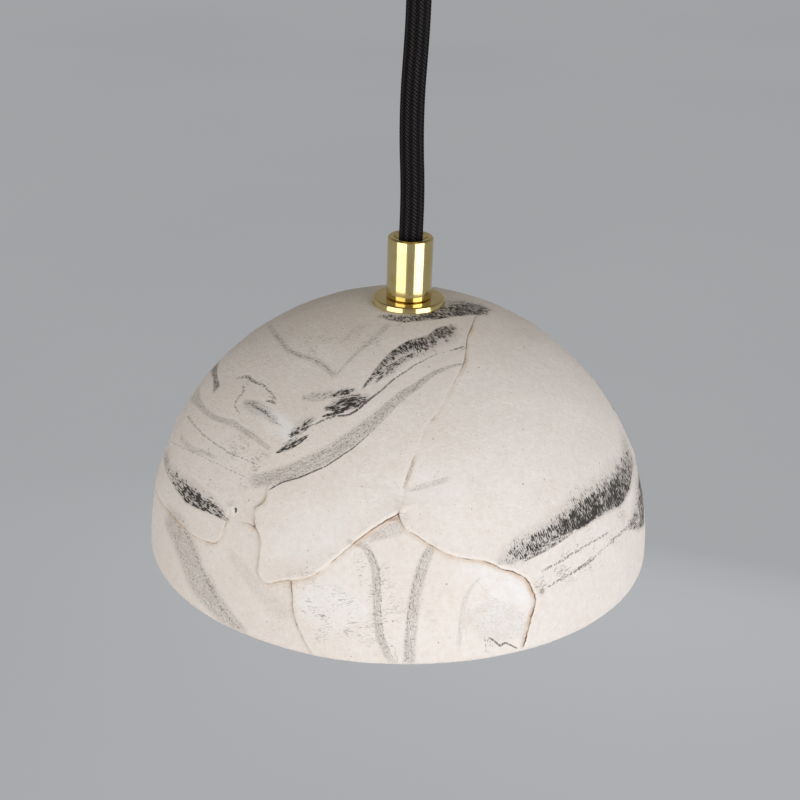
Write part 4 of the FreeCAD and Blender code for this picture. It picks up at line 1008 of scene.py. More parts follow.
def polycarbonate_white():
    """White polycarbonate, moulded: even and half matte."""
    return grained("polycarbonate_moulded_white", "ecebe6", "e2e0da", grain=2.5, smooth=0.36, rough=0.48)


def solder_mask_white():
    """Solder mask, printed on the board: chalky white with a slight shine."""
    return grained("solder_mask_white", "e7e6e0", "dcdad3", grain=1.5, smooth=0.40, rough=0.55)


def phosphor_yellow():
    """Phosphor in silicone, cast over each chip: egg yellow and slightly grainy."""
    return grained("phosphor_moulded", "e0c257", "d0ae3f", grain=0.8, smooth=0.30, rough=0.45)


# Meshes


def grid_piece(name, grid, material, closed_rows=False):
    """A mesh from rows of points in millimetres. A row closes on itself, and rows may close on each other."""
    rows, columns = grid.shape[:2]
    row = np.arange(rows if closed_rows else rows - 1)[:, None]
    column = np.arange(columns)[None, :]
    after_row = (row + 1) % rows
    after_column = (column + 1) % columns
    faces = np.stack([
        row * columns + column,
        row * columns + after_column,
        after_row * columns + after_column,
        after_row * columns + column,
    ], axis=-1).reshape(-1, 4)
    mesh = bpy.data.meshes.new(name)
    mesh.from_pydata((grid.reshape(-1, 3) * MM).tolist(), [], faces.tolist())
    return mesh_piece(name, mesh, material)


def mesh_piece(name, mesh, material, smooth=True):
    """An object for a mesh, with its material and shading."""
    piece = bpy.data.objects.new(name, mesh)
    bpy.context.scene.collection.objects.link(piece)
    mesh.materials.append(material)
    mesh.polygons.foreach_set("use_smooth", [smooth] * len(mesh.polygons))
    return piece


def turned_piece(name, outline, material):
    """A turned piece from a closed outline of (radius, height) in millimetres, with crisp corners."""
    outline = np.array(outline, float)
    angle = np.linspace(0, 2 * math.pi, TURNED_COLUMNS, endpoint=False)
    grid = np.stack([
        outline[:, :1] * np.cos(angle),
        outline[:, :1] * np.sin(angle),
        np.repeat(outline[:, 1:], TURNED_COLUMNS, axis=1),
    ], axis=-1)
    piece = grid_piece(name, grid, material, closed_rows=True)
    piece.data.set_sharp_from_angle(angle=math.radians(CREASE))
    return piece


def eased(corner_radius, outline, steps=4, side_share=0.45):
    """An outline whose corners are rounded by a small radius, within a share of the sides that meet there."""
    points = [np.array(p, float) for p in outline]
    rounded = []
    for i, corner in enumerate(points):
        back = points[i - 1] - corner
        ahead = points[(i + 1) % len(points)] - corner
        shortest = min(np.linalg.norm(back), np.linalg.norm(ahead))
        reach = min(corner_radius, side_share * shortest)
        start = corner + back / np.linalg.norm(back) * reach
        end = corner + ahead / np.linalg.norm(ahead) * reach
        for step in range(steps + 1):
            t = step / steps
            rounded.append((1 - t) ** 2 * start + 2 * t * (1 - t) * corner + t**2 * end)
    return rounded


def finished_node(node, material, bevel=0.0, bevel_angle=35.0):
    """Gives a CAD node its material, and eases its edges over an angle in degrees where asked."""
    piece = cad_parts[node]
    piece.data.materials.clear()
    piece.data.materials.append(material)
    if bevel:
        ease = piece.modifiers.new("eased_edges", "BEVEL")
        ease.width = bevel * MM
        ease.segments = 2
        ease.limit_method = "ANGLE"
        ease.angle_limit = math.radians(bevel_angle)


def stands_for(piece, node, body):
    """Lets a piece move with a body and stand for a CAD node, whose own mesh is hidden."""
    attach(piece, body)
    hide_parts(node)


def smoothstep(low, high, value):
    """A smooth rise from 0 at low to 1 at high."""
    t = np.clip((value - low) / (high - low), 0, 1)
    return t * t * (3 - 2 * t)


def run_along(places):
    """The length of a line of places up to each of them."""
    return np.concatenate([[0], np.cumsum(np.linalg.norm(np.diff(places, axis=0), axis=1))])


def evenly(places, run, even):
    """Places along a line at even lengths."""
    return np.stack([np.interp(even, run, places[:, k]) for k in range(3)], axis=1)


# The photograph's rays and the plain dome


def camera_axes():
    """Right, up and forward of the photograph's camera."""
    level_right = np.array([1.0, 0.0, 0.0])
    level_up = np.array([0.0, math.sin(CAMERA_PITCH), math.cos(CAMERA_PITCH)])
    forward = np.array([0.0, math.cos(CAMERA_PITCH), -math.sin(CAMERA_PITCH)])
    right = level_right * math.cos(CAMERA_ROLL) + level_up * math.sin(CAMERA_ROLL)
    up = level_up * math.cos(CAMERA_ROLL) - level_right * math.sin(CAMERA_ROLL)
    return right, up, forward


def meridian(radius, height, pad):
    """Centre offset and reach of a dome's meridian arc, which is upright at the rim and ends at the pad."""
    centre = (radius**2 - pad**2 - height**2) / (2 * (radius - pad))
    return centre, radius - centre


OUTER_CENTRE, OUTER_REACH = meridian(DOME_RADIUS, SEAT - RIM, DOME_PAD)
INNER_RADIUS = DOME_RADIUS - DOME_WALL
INNER_TOP = SEAT - DOME_WALL
INNER_CENTRE, INNER_REACH = meridian(INNER_RADIUS, INNER_TOP - RIM, DOME_INNER_PAD)


def on_dome(pixels):
    """Where rays through the photograph's pixels meet the dome, in millimetres."""
    pixels = np.asarray(pixels, float)
    right, up, forward = camera_axes()
    middle = PHOTO_PIXELS / 2
    rays = forward * FOCAL_PIXELS + (pixels[:, :1] - middle) * right - (pixels[:, 1:2] - middle) * up
    rays /= np.linalg.norm(rays, axis=1, keepdims=True)
    steps = np.linspace(RAY_NEAR, RAY_FAR, RAY_STEPS)
    places = CAMERA_PLACE + rays[:, None, :] * steps[None, :, None]
    across = np.hypot(places[..., 0] - DOME_SHIFT, places[..., 1]) - OUTER_CENTRE
    gap = np.hypot(across, places[..., 2] - RIM) - OUTER_REACH
    reached = gap < 0
    first = np.where(reached.any(axis=1), reached.argmax(axis=1), gap.argmin(axis=1))
    return CAMERA_PLACE + rays * steps[first][:, None]


def dome_normals(places):
    """Outward normals of the plain dome at places on it."""
    x = places[:, 0] - DOME_SHIFT
    y = places[:, 1]
    out = np.hypot(x, y)
    lean = (out - OUTER_CENTRE) / out
    normals = np.stack([x * lean, y * lean, places[:, 2] - RIM], axis=1)
    return normals / np.linalg.norm(normals, axis=1, keepdims=True)


def back_places(route):
    """Places on the dome by azimuth, 0 at the front and positive to the right, and share of its height."""
    azimuths, shares, _ = np.array(route, float).T
    height = shares * (SEAT - RIM)
    out = OUTER_CENTRE + np.sqrt(OUTER_REACH**2 - height**2)
    turn = np.radians(azimuths)
    return np.stack([DOME_SHIFT + out * np.sin(turn), -out * np.cos(turn), RIM + height], axis=1)


def arc_rings(radius, height, reach, turns, outer, way=1):
    """Rings of points along an arc about (radius, height), as dome_rings gives them."""
    out = np.cos(turns)
    up = np.sin(turns)
    share = outer + 0 * turns
    return np.stack([radius + reach * out, height + reach * up, way * out, way * up, share], axis=1)


def dome_rings():
    """The dome's closed outline as (radius, height, outward radius, outward height, outer face's share)."""
    inner_top_turn = math.atan2(INNER_TOP - RIM, DOME_INNER_PAD - INNER_CENTRE)
    outer_top_turn = math.atan2(SEAT - RIM, DOME_PAD - OUTER_CENTRE)
    inner_turns = np.linspace(inner_top_turn, math.asin(RIM_ROUND / INNER_REACH), INNER_RINGS)
    outer_turns = np.linspace(math.asin(RIM_ROUND / OUTER_REACH), outer_top_turn, OUTER_RINGS)
    inner_round = np.linspace(math.pi, 1.5 * math.pi, ROUND_RINGS)
    outer_round = np.linspace(1.5 * math.pi, 2 * math.pi, ROUND_RINGS)
    round_height = RIM + RIM_ROUND
    round_shares = np.linspace(0, ROUND_SHARE, ROUND_RINGS)
    return np.concatenate([
        [(radius, INNER_TOP, 0, -1, 0) for radius in np.linspace(DOME_HOLE, DOME_INNER_PAD, INNER_PAD_RINGS)],
        arc_rings(INNER_CENTRE, RIM, INNER_REACH, inner_turns[1:], outer=0, way=-1),
        arc_rings(INNER_RADIUS + RIM_ROUND, round_height, RIM_ROUND, inner_round[1:], outer=0),
        arc_rings(DOME_RADIUS - RIM_ROUND, round_height, RIM_ROUND, outer_round, outer=round_shares),
        arc_rings(OUTER_CENTRE, RIM, OUTER_REACH, outer_turns[1:], outer=1),
        [(radius, SEAT, 0, 1, 1) for radius in np.linspace(DOME_PAD, DOME_HOLE, PAD_RINGS)[1:]],
    ])


def dome_columns():
    """Angles round the dome, closer together at the front."""
    turn = 2 * math.pi * np.linspace(-0.5, 0.5, DOME_COLUMNS, endpoint=False)
    return turn - FRONT_CROWDING * np.sin(turn)


# Marks in the clay


class Mark:
    """A route over the dome with its half-width along it, resampled evenly and smoothed in some passes."""

    def __init__(self, places, half_widths, strengths, passes, flip=1, relief=0.0):
        run = run_along(places)
        self.along = np.linspace(0, run[-1], max(int(run[-1] / MARK_SPACING), MARK_FEWEST))
        line = evenly(places, run, self.along)
        for _ in range(passes):
            line[1:-1] = 0.25 * line[:-2] + 0.5 * line[1:-1] + 0.25 * line[2:]
        self.line = line
        self.relief = relief
        self.half = np.interp(self.along, run, half_widths)
        self.strength = np.interp(self.along, run, strengths)
        tangent = np.gradient(line, axis=0)
        self.tangent = tangent / np.linalg.norm(tangent, axis=1, keepdims=True)
        self.side = flip * np.cross(dome_normals(line), self.tangent)

    def measure(self, points):
        """Points near the route, with their step on it, offset in half-widths, run and way past its ends."""
        reach = SEARCH_HALVES * self.half.max() + SEARCH_MARGIN
        low, high = self.line.min(axis=0) - reach, self.line.max(axis=0) + reach
        near = np.nonzero(((points > low) & (points < high)).all(axis=1))[0]
        nearest = np.zeros(len(near), int)
        for start in range(0, len(near), SEARCH_BATCH):
            batch = slice(start, start + SEARCH_BATCH)
            gaps = points[near[batch]][:, None] - self.line[None]
            nearest[batch] = (gaps**2).sum(axis=2).argmin(axis=1)
        offset = points[near] - self.line[nearest]
        along = self.along[nearest] + (offset * self.tangent[nearest]).sum(axis=1)
        across = (offset * self.side[nearest]).sum(axis=1) / self.half[nearest]
        past = np.maximum(np.maximum(-along, along - self.along[-1]), 0) / self.half[nearest]
        return near, nearest, across, along, past


def photo_mark(route, strength):
    """A mark of (x, y, half-width) in the photograph's pixels, its half-width turned to millimetres."""
    route = np.array(route, float)
    pixels = route[:, :2]
    way = np.gradient(pixels, axis=0)
    way /= np.linalg.norm(way, axis=1, keepdims=True)
    square = np.stack([-way[:, 1], way[:, 0]], axis=1) * route[:, 2:]
    half = np.linalg.norm(on_dome(pixels + square) - on_dome(pixels - square), axis=1) / 2
    strengths = np.broadcast_to(strength, len(route))
    return Mark(on_dome(pixels), np.clip(half, MARK_LEAST, MARK_MOST), strengths, FRONT_PASSES)


def back_mark(route, strength):
    """A mark on the side away from the photograph."""
    half = [point[2] for point in route]
    return Mark(back_places(route), half, np.broadcast_to(strength, len(route)), BACK_PASSES)


def seam_mark(places, route, lip, passes):
    """A seam through places, with its route's stains and painted shadows, measured in millimetres towards its
    proud side.
    """
    relief, side = lip
    return Mark(places, np.ones(len(route)), [point[2] for point in route], passes, side, relief)


def all_seams():
    """The seams that the photograph shows, and those on the side away from it."""
    seams = []
    for name, route in SEAMS.items():
        seams.append(seam_mark(on_dome([point[:2] for point in route]), route, SEAM_LIPS[name], FRONT_PASSES))
    for name, route in BACK_SEAMS.items():
        seams.append(seam_mark(back_places(route), route, BACK_LIPS[name], BACK_PASSES))
    return seams


def nearest_marks(points, marks):
    """For each point, of its nearest mark: offset in half-widths, run, strength, half-width and relief."""
    best = np.full(len(points), NO_MARK)
    found = np.zeros((len(points), 5), np.float32)
    found[:, 0] = NO_MARK
    for mark in marks:
        near, nearest, across, along, past = mark.measure(points)
        half = mark.half[nearest]
        distance = (np.abs(across) + past) / np.maximum(MARK_HALVES, MARK_REACH / half)
        closer = distance < best[near]
        chosen = near[closer]
        best[chosen] = distance[closer]
        fade = (1 - smoothstep(1.0, MARK_FADE, distance)) * np.exp(-((past / MARK_END) ** 2))
        rows = np.stack([across, along, mark.strength[nearest] * fade, half, mark.relief * fade], axis=1)
        found[chosen] = rows[closer]
    return found


def two_sided(found):
    """Seams: the plain distance, how far the slab stands proud, and the signed distance, which dies away."""
    signed = found[:, 0].copy()
    found[:, 0] = np.abs(signed)
    found[:, 1] = found[:, 4]
    found[:, 3] = signed * (1 - smoothstep(*SEAM_FADE, np.abs(signed)))
    return found


def proud_clay(points, seams):
    """How far the slabs' lips and the pinched nub stand out of the plain dome at each point."""
    proud = NUB_HEIGHT * np.exp(-((points - on_dome([NUB_PIXEL])) ** 2).sum(axis=1) / NUB_RADIUS**2)
    for seam in seams:
        near, _, offset, _, past = seam.measure(points)
        edge = smoothstep(-LIP_STEP, LIP_STEP, offset) * np.exp(-np.maximum(offset, 0) / LIP_REACH)
        groove = -GROOVE_SHARE * np.exp(-(((offset + LIP_STEP) / GROOVE_WIDTH) ** 2))
        proud[near] += seam.relief * (edge + groove) * np.exp(-((past / LIP_END) ** 2))
    return proud


def swells(points, size):
    """Smooth swells, from -1 to 1, that are this many millimetres apart."""
    return np.array([noise.noise(Vector(point / size)) for point in points])


# Operators


class PENDANT_OT_stage(bpy.types.Operator):
    """Sets the floor, the softboxes and the photograph's camera"""

    bl_idname = "pendant.stage"
    bl_label = "Stage"

    def execute(self, context):
        stage = context.scene.pendant_stage
        context.scene.view_settings.view_transform = "Standard"
        sides = ((-1, -1), (1, -1), (1, 1), (-1, 1))
        corners = [(x * FLOOR_REACH, y * FLOOR_REACH, stage.floor_level) for x, y in sides]
        mesh = bpy.data.meshes.new("floor")
        mesh.from_pydata(corners, [], [(0, 1, 2, 3)])
        mesh_piece("floor", mesh, self.floor_paper(stage), smooth=False)
        self.lamp("softbox_right", stage.key_power, azimuth=48, width=0.68)
        self.lamp("softbox_left", stage.fill_power, azimuth=-43, width=0.73, middle=-0.08, colour=stage.fill)
        back = self.lamp("softbox_back", stage.back_power, azimuth=165, width=0.7, height=0.4, middle=-0.33)
        back.visible_glossy = False
        self.sky(context, stage)
        self.camera(context)
        return {"FINISHED"}

    def sky(self, context, stage):
        """An even sky that is dimmer overhead."""
        world = context.scene.world or bpy.data.worlds.new("studio")
        context.scene.world = world
        world.use_nodes = True
        tree = world.node_tree
        light = tree.nodes["Background"]
        light.inputs["Color"].default_value = linear(stage.sky)
        way = add(tree, "ShaderNodeTexCoord").outputs["Generated"]
        rise = add(tree, "ShaderNodeSeparateXYZ", {0: way}).outputs["Z"]
        dimmed = add(tree, "ShaderNodeMapRange", {
            "Value": rise, "From Min": SKY_FADE[0], "From Max": SKY_FADE[1],
            "To Min": SKY_SIDES, "To Max": SKY_TOP,
        })
        tree.links.new(dimmed.outputs[0], light.inputs["Strength"])

    def camera(self, context):
        """The photograph's camera."""
        camera = bpy.data.cameras.new("photo_camera")
        camera.sensor_width = SENSOR_WIDTH
        camera.lens = FOCAL_PIXELS * SENSOR_WIDTH / PHOTO_PIXELS
        camera.clip_start = 0.01
        camera.clip_end = 60.0
        holder = bpy.data.objects.new("photo_camera", camera)
        right, up, forward = camera_axes()
        turn = Matrix((right, up, -forward)).transposed()
        holder.matrix_world = Matrix.Translation(Vector(CAMERA_PLACE * MM)) @ turn.to_4x4()
        context.scene.collection.objects.link(holder)
        context.scene.camera = holder

    def lamp(self, name, power, azimuth, width, height=LAMP_HEIGHT, middle=-0.05, colour="ffffff"):
        """A softbox at an azimuth from the photograph's side, upright and facing the dome's axis."""
        light = bpy.data.lights.new(name, "AREA")
        light.energy = power
        light.color = linear(colour)[:3]
        light.shape = "RECTANGLE"
        light.size = width
        light.size_y = height
        lamp = bpy.data.objects.new(name, light)
        turn = math.radians(azimuth)
        lamp.location = (LAMP_DISTANCE * math.sin(turn), -LAMP_DISTANCE * math.cos(turn), middle)
        aim = Vector((-lamp.location.x, -lamp.location.y, 0))
        lamp.rotation_euler = aim.to_track_quat("-Z", "Y").to_euler()
        lamp.visible_camera = False
        bpy.context.scene.collection.objects.link(lamp)
        return lamp

    def floor_paper(self, stage):
        """Background paper, matte: its own pale colour shows to the camera and in metal, and soft shadows."""
        material, tree, shader, place = new_material("paper_matte_pale", Roughness=0.9)
        fibre = add(tree, "ShaderNodeTexNoise", {"Vector": place, "Scale": per_mm(900), "Detail": 2.0})
        colour = add(tree, "ShaderNodeMix", {
            "Factor": fibre.outputs["Fac"], "A": linear(stage.floor), "B": linear(stage.fibre),
        }, data_type="RGBA").outputs["Result"]
        tree.links.new(colour, shader.inputs["Base Color"])
        seen = add(tree, "ShaderNodeLightPath").outputs
        reflected = add(tree, "ShaderNodeMath", {
            0: seen["Is Glossy Ray"], 1: seen["Is Transmission Ray"],
        }, operation="MAXIMUM").outputs[0]
        shown = add(tree, "ShaderNodeMath", {
            0: seen["Is Camera Ray"], 1: reflected,
        }, operation="MAXIMUM").outputs[0]
        share = add(tree, "ShaderNodeMath", {0: shown, 1: FLOOR_GLOW}, operation="MULTIPLY").outputs[0]
        glow = add(tree, "ShaderNodeEmission", {"Color": colour, "Strength": 1.0})
        mixed = add(tree, "ShaderNodeMixShader", {0: share, 1: shader.outputs[0], 2: glow.outputs[0]})
        tree.links.new(mixed.outputs[0], tree.nodes["Material Output"].inputs["Surface"])
        return material


class PENDANT_OT_cord(bpy.types.Operator):
    """Braids the cord along its route"""

    bl_idname = "pendant.cord"
    bl_label = "Braided cord"

    def execute(self, context):
        settings = context.scene.pendant_cord
        material = rayon_braided()
        path = self.route_path(context)
        piece, length = self.braided_tube(
            "cord_braided", path, material, settings, rows=420, columns=160, round_top=True
        )
        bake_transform(piece)
        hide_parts("cord_bend", "cord_drop")
        for node, body in (("cord_upper_end", "rose"), ("cord_lower_end", "shade")):
            low, high = node_box(node)
            ends = np.array([(0, 0, high[2]), (0, 0, low[2])])
            clamped, _ = self.braided_tube(f"{node}_braided", ends, material, settings, rows=120, columns=80)
            stands_for(clamped, node, body)
        return {"FINISHED"}

    def route_path(self, context):
        """Points, in millimetres, along the smooth curve of the cord's route."""
        curve = bpy.data.curves.new("cord_route", "CURVE")
        curve.dimensions = "3D"
        curve.resolution_u = 40
        spline = curve.splines.new("NURBS")
        spline.points.add(len(CORD_ROUTE) - 1)
        for point, (x, z) in zip(spline.points, CORD_ROUTE):
            point.co = (x * MM, 0, z * MM, 1)
        spline.order_u = 3
        spline.use_endpoint_u = True
        holder = bpy.data.objects.new("cord_route", curve)
        context.scene.collection.objects.link(holder)
        context.view_layer.update()
        line = bpy.data.meshes.new_from_object(holder.evaluated_get(context.evaluated_depsgraph_get()))
        path = np.array([v.co for v in line.vertices]) / MM
        bpy.data.objects.remove(holder)
        return path

    def braided_tube(self, name, path, material, settings, rows, columns, round_top=False):
        """A braided cord along a path in millimetres, with closed ends, and its length."""
        run = run_along(path)
        along = np.linspace(0, run[-1], rows)
        middle = evenly(path, run, along)
        around = np.linspace(0, 2 * math.pi, columns, endpoint=False)
        height, shade = self.braid(along[:, None], around[None], settings.carriers)
        plain = CORD_DIAMETER / 2
        radius = plain + (height - BRAID_MIDDLE) * settings.relief / MM
        if round_top:
            radius *= np.sqrt(np.clip(1 - (1 - np.clip(along / plain, 0, 1)) ** 2, TIP_SHARE, 1))[:, None]
        else:
            radius[0] *= END_SHARE
        radius[-1] *= END_SHARE
        outward = np.stack([np.cos(around), np.sin(around), 0 * around], axis=1)
        piece = grid_piece(name, middle[:, None] + radius[..., None] * outward[None], material)
        # Each point's painted light: highlight on the strands' crowns, painted shade in the gaps
        strand_painted_light = piece.data.attributes.new("strand_painted_light", "FLOAT", "POINT")
        strand_painted_light.data.foreach_set("value", shade.astype(np.float32).ravel())
        return piece, run[-1]

    def braid(self, along, around, carriers):
        """Height and painted light of a two-over-two braid, both from 0 to 1: highlight on the strands'
        crowns, painted shade in the gaps and on the strands that wind one way.
        """
        pitch = math.pi * CORD_DIAMETER / carriers
        one = around * carriers / (2 * math.pi) + along / pitch
        other = around * carriers / (2 * math.pi) - along / pitch
        one_share = one - np.floor(one)
        other_share = other - np.floor(other)
        one_round = np.sqrt(np.clip(1 - (2 * one_share - 1) ** 2, 0, 1))
        other_round = np.sqrt(np.clip(1 - (2 * other_share - 1) ** 2, 0, 1))
        turn = (np.floor(one) + np.floor(other)) % 4
        over = turn < 2
        lift = np.where(over, one_round, other_round)
        height = lift * (1 - STRAND_DIVE + STRAND_DIVE * np.sin(math.pi * other_share))
        return height, np.where(over, STRAND_SHADE, 1.0) * lift


class PENDANT_OT_dome(bpy.types.Operator):
    """Builds the slab-built clay dome with its seams and marbling"""

    bl_idname = "pendant.dome"
    bl_label = "Ceramic dome"

    def execute(self, context):
        seams = all_seams()
        grid, outer = self.shaped_grid(seams, context.scene.pendant_clay.undulation / MM)
        piece = grid_piece("ceramic_dome_marbled", grid, clay_marbled(), closed_rows=True)
        points = grid.reshape(-1, 3)
        channels = {
            "charcoal": (CHARCOAL_BANDS, BACK_CHARCOAL),
            "dragged": (DRAGGED_BANDS, BACK_DRAGGED),
            "beside": (DRAGGED_BESIDE, {}),
            "smoke": (SMOKE_BANDS, BACK_SMOKE),
            "hairline": (HAIRLINES, BACK_HAIRLINES),
            "fleck": (FLECKS, BACK_FLECKS),
            "cloud": (CLOUDS, BACK_CLOUDS),
            "chip": (CHIPS, {}),
        }
        for name, (front, back) in channels.items():
            marks = [photo_mark(route, strength) for strength, route in front.values()]
            marks += [back_mark(route, strength) for strength, route in back.values()]
            self.paint(piece, name, nearest_marks(points, marks), outer)
        self.paint(piece, "seam", two_sided(nearest_marks(points, seams)), outer)
        stands_for(piece, "ceramic_dome", "shade")
        return {"FINISHED"}

    def shaped_grid(self, seams, undulation):
        """Rows of points of the hand-built dome, and each point's share of the outer face."""
        rings = dome_rings()
        angle = dome_columns()
        outward = np.stack([np.sin(angle), -np.cos(angle), 0 * angle], axis=1)
        upward = np.array([0, 0, 1.0])
        grid = rings[:, None, :1] * outward[None] + upward * rings[:, None, 1:2]
        normals = (rings[:, None, 2:3] * outward[None] + upward * rings[:, None, 3:4]).reshape(-1, 3)
        grid[..., 0] += DOME_SHIFT * smoothstep(SHIFT_START, SHIFT_END, rings[:, :1])
        outer = np.repeat(rings[:, 4], len(angle))
        points = grid.reshape(-1, 3)
        hold = smoothstep(HOLD_START, HOLD_END, np.hypot(points[:, 0], points[:, 1]))
        rim_share = 1 - smoothstep(0, RIM_WANDER_REACH, np.abs(points[:, 2] - RIM))
        wander = swells(points, SWELL) + SECOND_SWELL_SHARE * swells(points, SECOND_SWELL)
        uneven = undulation * (wander + FINE_SWELL_SHARE * swells(points, FINE_SWELL))
        lift = outer * proud_clay(points, seams) + (INNER_SHARE + (1 - INNER_SHARE) * outer) * uneven
        shaped = points + normals * (lift * hold)[:, None]
        shaped[:, 2] += RIM_WANDER * rim_share * wander
        return shaped.reshape(grid.shape), outer

    def paint(self, piece, name, found, outer):
        """Stores, on the outer face, what each point needs to know of the marks of one kind."""
        found[:, 2] *= np.minimum(outer / FULL_MARK_SHARE, 1)
        attribute = piece.data.attributes.new(name, "FLOAT_COLOR", "POINT")
        attribute.data.foreach_set("color", found[:, :4].ravel())


class PENDANT_OT_brass(bpy.types.Operator):
    """Turns the cord grips, the flange and the ceiling rose in brass"""

    bl_idname = "pendant.brass"
    bl_label = "Brass fittings"

    def execute(self, context):
        brass = brass_turned()
        self.grip("cord_grip_turned", "cord_grip", DOME_MOUTH, 1, brass, "shade")
        self.grip("rose_grip_turned", "rose_grip", ROSE_MOUTH, -1, brass, "rose")
        outline = eased(FLANGE_EASE, [
            (FLANGE_HOLE, SEAT),
            (FLANGE_RADIUS - FLANGE_DRAFT, SEAT),
            (FLANGE_RADIUS, SEAT + FLANGE_DRAFT),
            (FLANGE_RADIUS - FLANGE_DRAFT, FLANGE_TOP - FLANGE_CHAMFER),
            (FLANGE_RADIUS - FLANGE_DRAFT - FLANGE_CHAMFER, FLANGE_TOP),
            (FLANGE_HOLE, FLANGE_TOP),
        ])
        flange = turned_piece("grip_flange_turned", outline, brass)
        stands_for(flange, "grip_flange", "shade")
        finished_node("ceiling_rose", brass)
        finished_node("rose_screws", brass, bevel=0.15)
        return {"FINISHED"}

    def grip(self, name, node, mouth, way, brass, body):
        """A turned grip with a bell mouth, up for way 1 and down for way -1, and a screw hole in its back."""
        low, high = node_box(node)
        radius = high[0]
        foot = low[2] - high[2]
        outline = eased(GRIP_EASE, [
            (MOUTH_RADIUS, 0),
            (radius - MOUTH_CHAMFER, 0),
            (radius, -MOUTH_CHAMFER),
            (radius, foot + FOOT_CHAMFER),
            (radius - FOOT_CHAMFER, foot),
            (TUBE_SOCKET, foot),
            (TUBE_SOCKET, foot + TUBE_SOCKET_DEPTH),
            (GRIP_BORE, foot + TUBE_SOCKET_DEPTH),
            (GRIP_BORE, -MOUTH_DEPTH),
        ])
        # Turned over, the outline runs backwards, so that its faces still look outwards
        outline = [(r, mouth + way * z) for r, z in outline][::way]
        piece = turned_piece(name, outline, brass)
        self.drill(piece, (0, radius, mouth - way * GRUB_DROP))
        stands_for(piece, node, body)

    def drill(self, piece, place):
        """Drills the grub screw's cross hole from the back, at a place in millimetres, to the bore."""
        drill = bmesh.new()
        turn = Matrix.Translation(Vector(place) * MM) @ Matrix.Rotation(math.pi / 2, 4, "X")
        radius = GRUB_HOLE * MM
        bmesh.ops.create_cone(
            drill, cap_ends=True, segments=32, radius1=radius, radius2=radius,
            depth=DRILL_LENGTH * MM, matrix=turn,
        )
        mesh = bpy.data.meshes.new("drill")
        drill.to_mesh(mesh)
        drill.free()
        cutter = bpy.data.objects.new("drill", mesh)
        bpy.context.scene.collection.objects.link(cutter)
        cut = piece.modifiers.new("cross_hole", "BOOLEAN")
        cut.object = cutter
        bpy.context.view_layer.update()
        drilled = bpy.data.meshes.new_from_object(piece.evaluated_get(bpy.context.evaluated_depsgraph_get()))
        piece.modifiers.remove(cut)
        piece.data = drilled
        bpy.data.objects.remove(cutter)
        drilled.polygons.foreach_set("use_smooth", [True] * len(drilled.polygons))
        drilled.set_sharp_from_angle(angle=math.radians(CREASE))


class PENDANT_OT_steelwork(bpy.types.Operator):
    """Plates the bracket, tubes, nuts, washers and screws, and moulds the rubber washer"""

    bl_idname = "pendant.steelwork"
    bl_label = "Steelwork"

    def execute(self, context):
        steel = steel_zinc()
        for node in (
            "ceiling_bracket",
            "rose_grip_screw",
            "rose_tube",
            "rose_lock_nut",
            "cord_grip_screw",
            "threaded_tube",
            "steel_washer",
            "lock_nut",
            "terminal_post_screws",
        ):
            finished_node(node, steel, bevel=0.12)
        finished_node("rubber_washer", rubber_black(), bevel=0.15)
        return {"FINISHED"}


class PENDANT_OT_wiring(bpy.types.Operator):
    """Finishes the terminal block, the contacts and the conductors"""

    bl_idname = "pendant.wiring"
    bl_label = "Wiring"

    def execute(self, context):
        finished_node("terminal_block", nylon_white(), bevel=0.2)
        stamped = brass_stamped()
        for node in (
            "terminal_block_screws",
            "earth_tag",
            "earth_nut",
            "terminal_posts",
            "screw_shell",
            "centre_contact",
        ):
            finished_node(node, stamped)
        for core, insulation in (("live", pvc_brown()), ("neutral", pvc_blue()), ("earth", pvc_striped())):
            for place in ("rose", "lampholder"):
                finished_node(f"{place}_core_{core}", insulation)
        return {"FINISHED"}


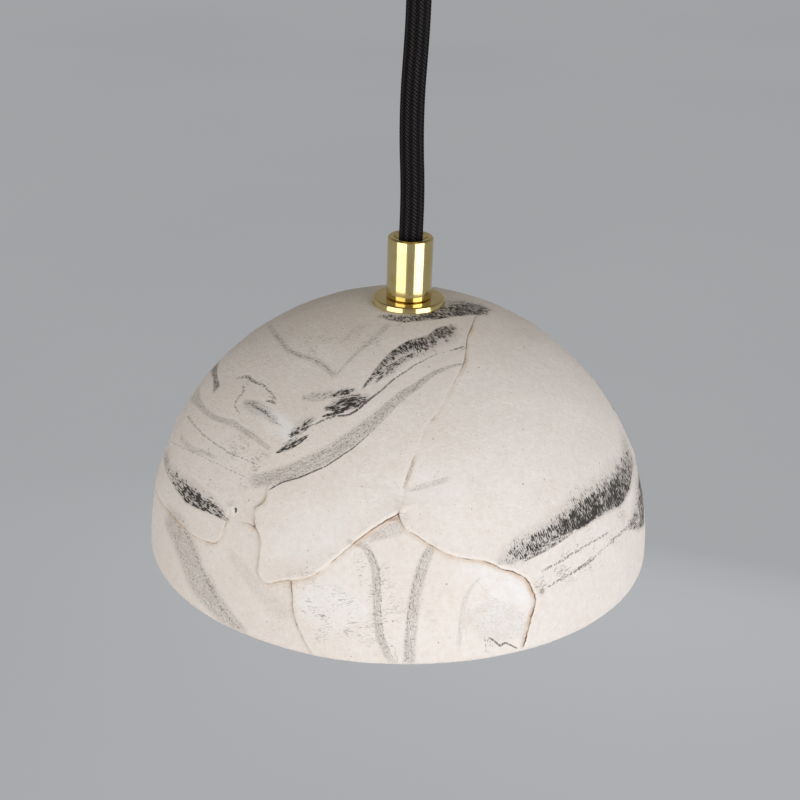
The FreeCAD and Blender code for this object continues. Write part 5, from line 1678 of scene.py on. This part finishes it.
class PENDANT_OT_lampholder(bpy.types.Operator):
    """Moulds the lampholder"""

    bl_idname = "pendant.lampholder"
    bl_label = "Lampholder"

    def execute(self, context):
        phenolic = phenolic_black()
        finished_node("lampholder_cap", phenolic, bevel=0.3)
        finished_node("lampholder_skirt", phenolic, bevel=0.2)
        finished_node("lampholder_insert", steatite_pressed(), bevel=0.2)
        return {"FINISHED"}


class PENDANT_OT_bulb(bpy.types.Operator):
    """Makes the bulb: threaded cap, housing, board and opal globe"""

    bl_idname = "pendant.bulb"
    bl_label = "Bulb"

    def execute(self, context):
        for node, material in (
            ("bulb_cap", nickel_plated()),
            ("bulb_contact", solder_drop()),
            ("bulb_insulator", glass_black()),
            ("bulb_housing", polycarbonate_white()),
            ("bulb_board", solder_mask_white()),
            ("bulb_leds", phosphor_yellow()),
            ("bulb_globe", opal_moulded()),
        ):
            finished_node(node, material)
        return {"FINISHED"}


OPERATORS = (
    PENDANT_OT_stage,
    PENDANT_OT_cord,
    PENDANT_OT_dome,
    PENDANT_OT_brass,
    PENDANT_OT_steelwork,
    PENDANT_OT_wiring,
    PENDANT_OT_lampholder,
    PENDANT_OT_bulb,
)


class PENDANT_PT_panel(bpy.types.Panel):
    """Shows the pendant's settings and the buttons that build its pieces"""

    bl_idname = "PENDANT_PT_panel"
    bl_label = "Dome pendant light"
    bl_space_type = "VIEW_3D"
    bl_region_type = "UI"
    bl_category = "Pendant"

    def draw(self, context):
        for name, settings in SETTINGS:
            group = getattr(context.scene, name)
            for key in settings.__annotations__:
                self.layout.prop(group, key)
        for operator in OPERATORS:
            self.layout.operator(operator.bl_idname)


def register():
    for name, settings in SETTINGS:
        bpy.utils.register_class(settings)
        setattr(bpy.types.Scene, name, bpy.props.PointerProperty(type=settings))
    for operator in OPERATORS:
        bpy.utils.register_class(operator)
    bpy.utils.register_class(PENDANT_PT_panel)


def unregister():
    bpy.utils.unregister_class(PENDANT_PT_panel)
    for operator in reversed(OPERATORS):
        bpy.utils.unregister_class(operator)
    for name, settings in reversed(SETTINGS):
        delattr(bpy.types.Scene, name)
        bpy.utils.unregister_class(settings)


def main():
    register()
    for operator in OPERATORS:
        group, action = operator.bl_idname.split(".")
        getattr(getattr(bpy.ops, group), action)()


if __name__ == "__main__":
    main()
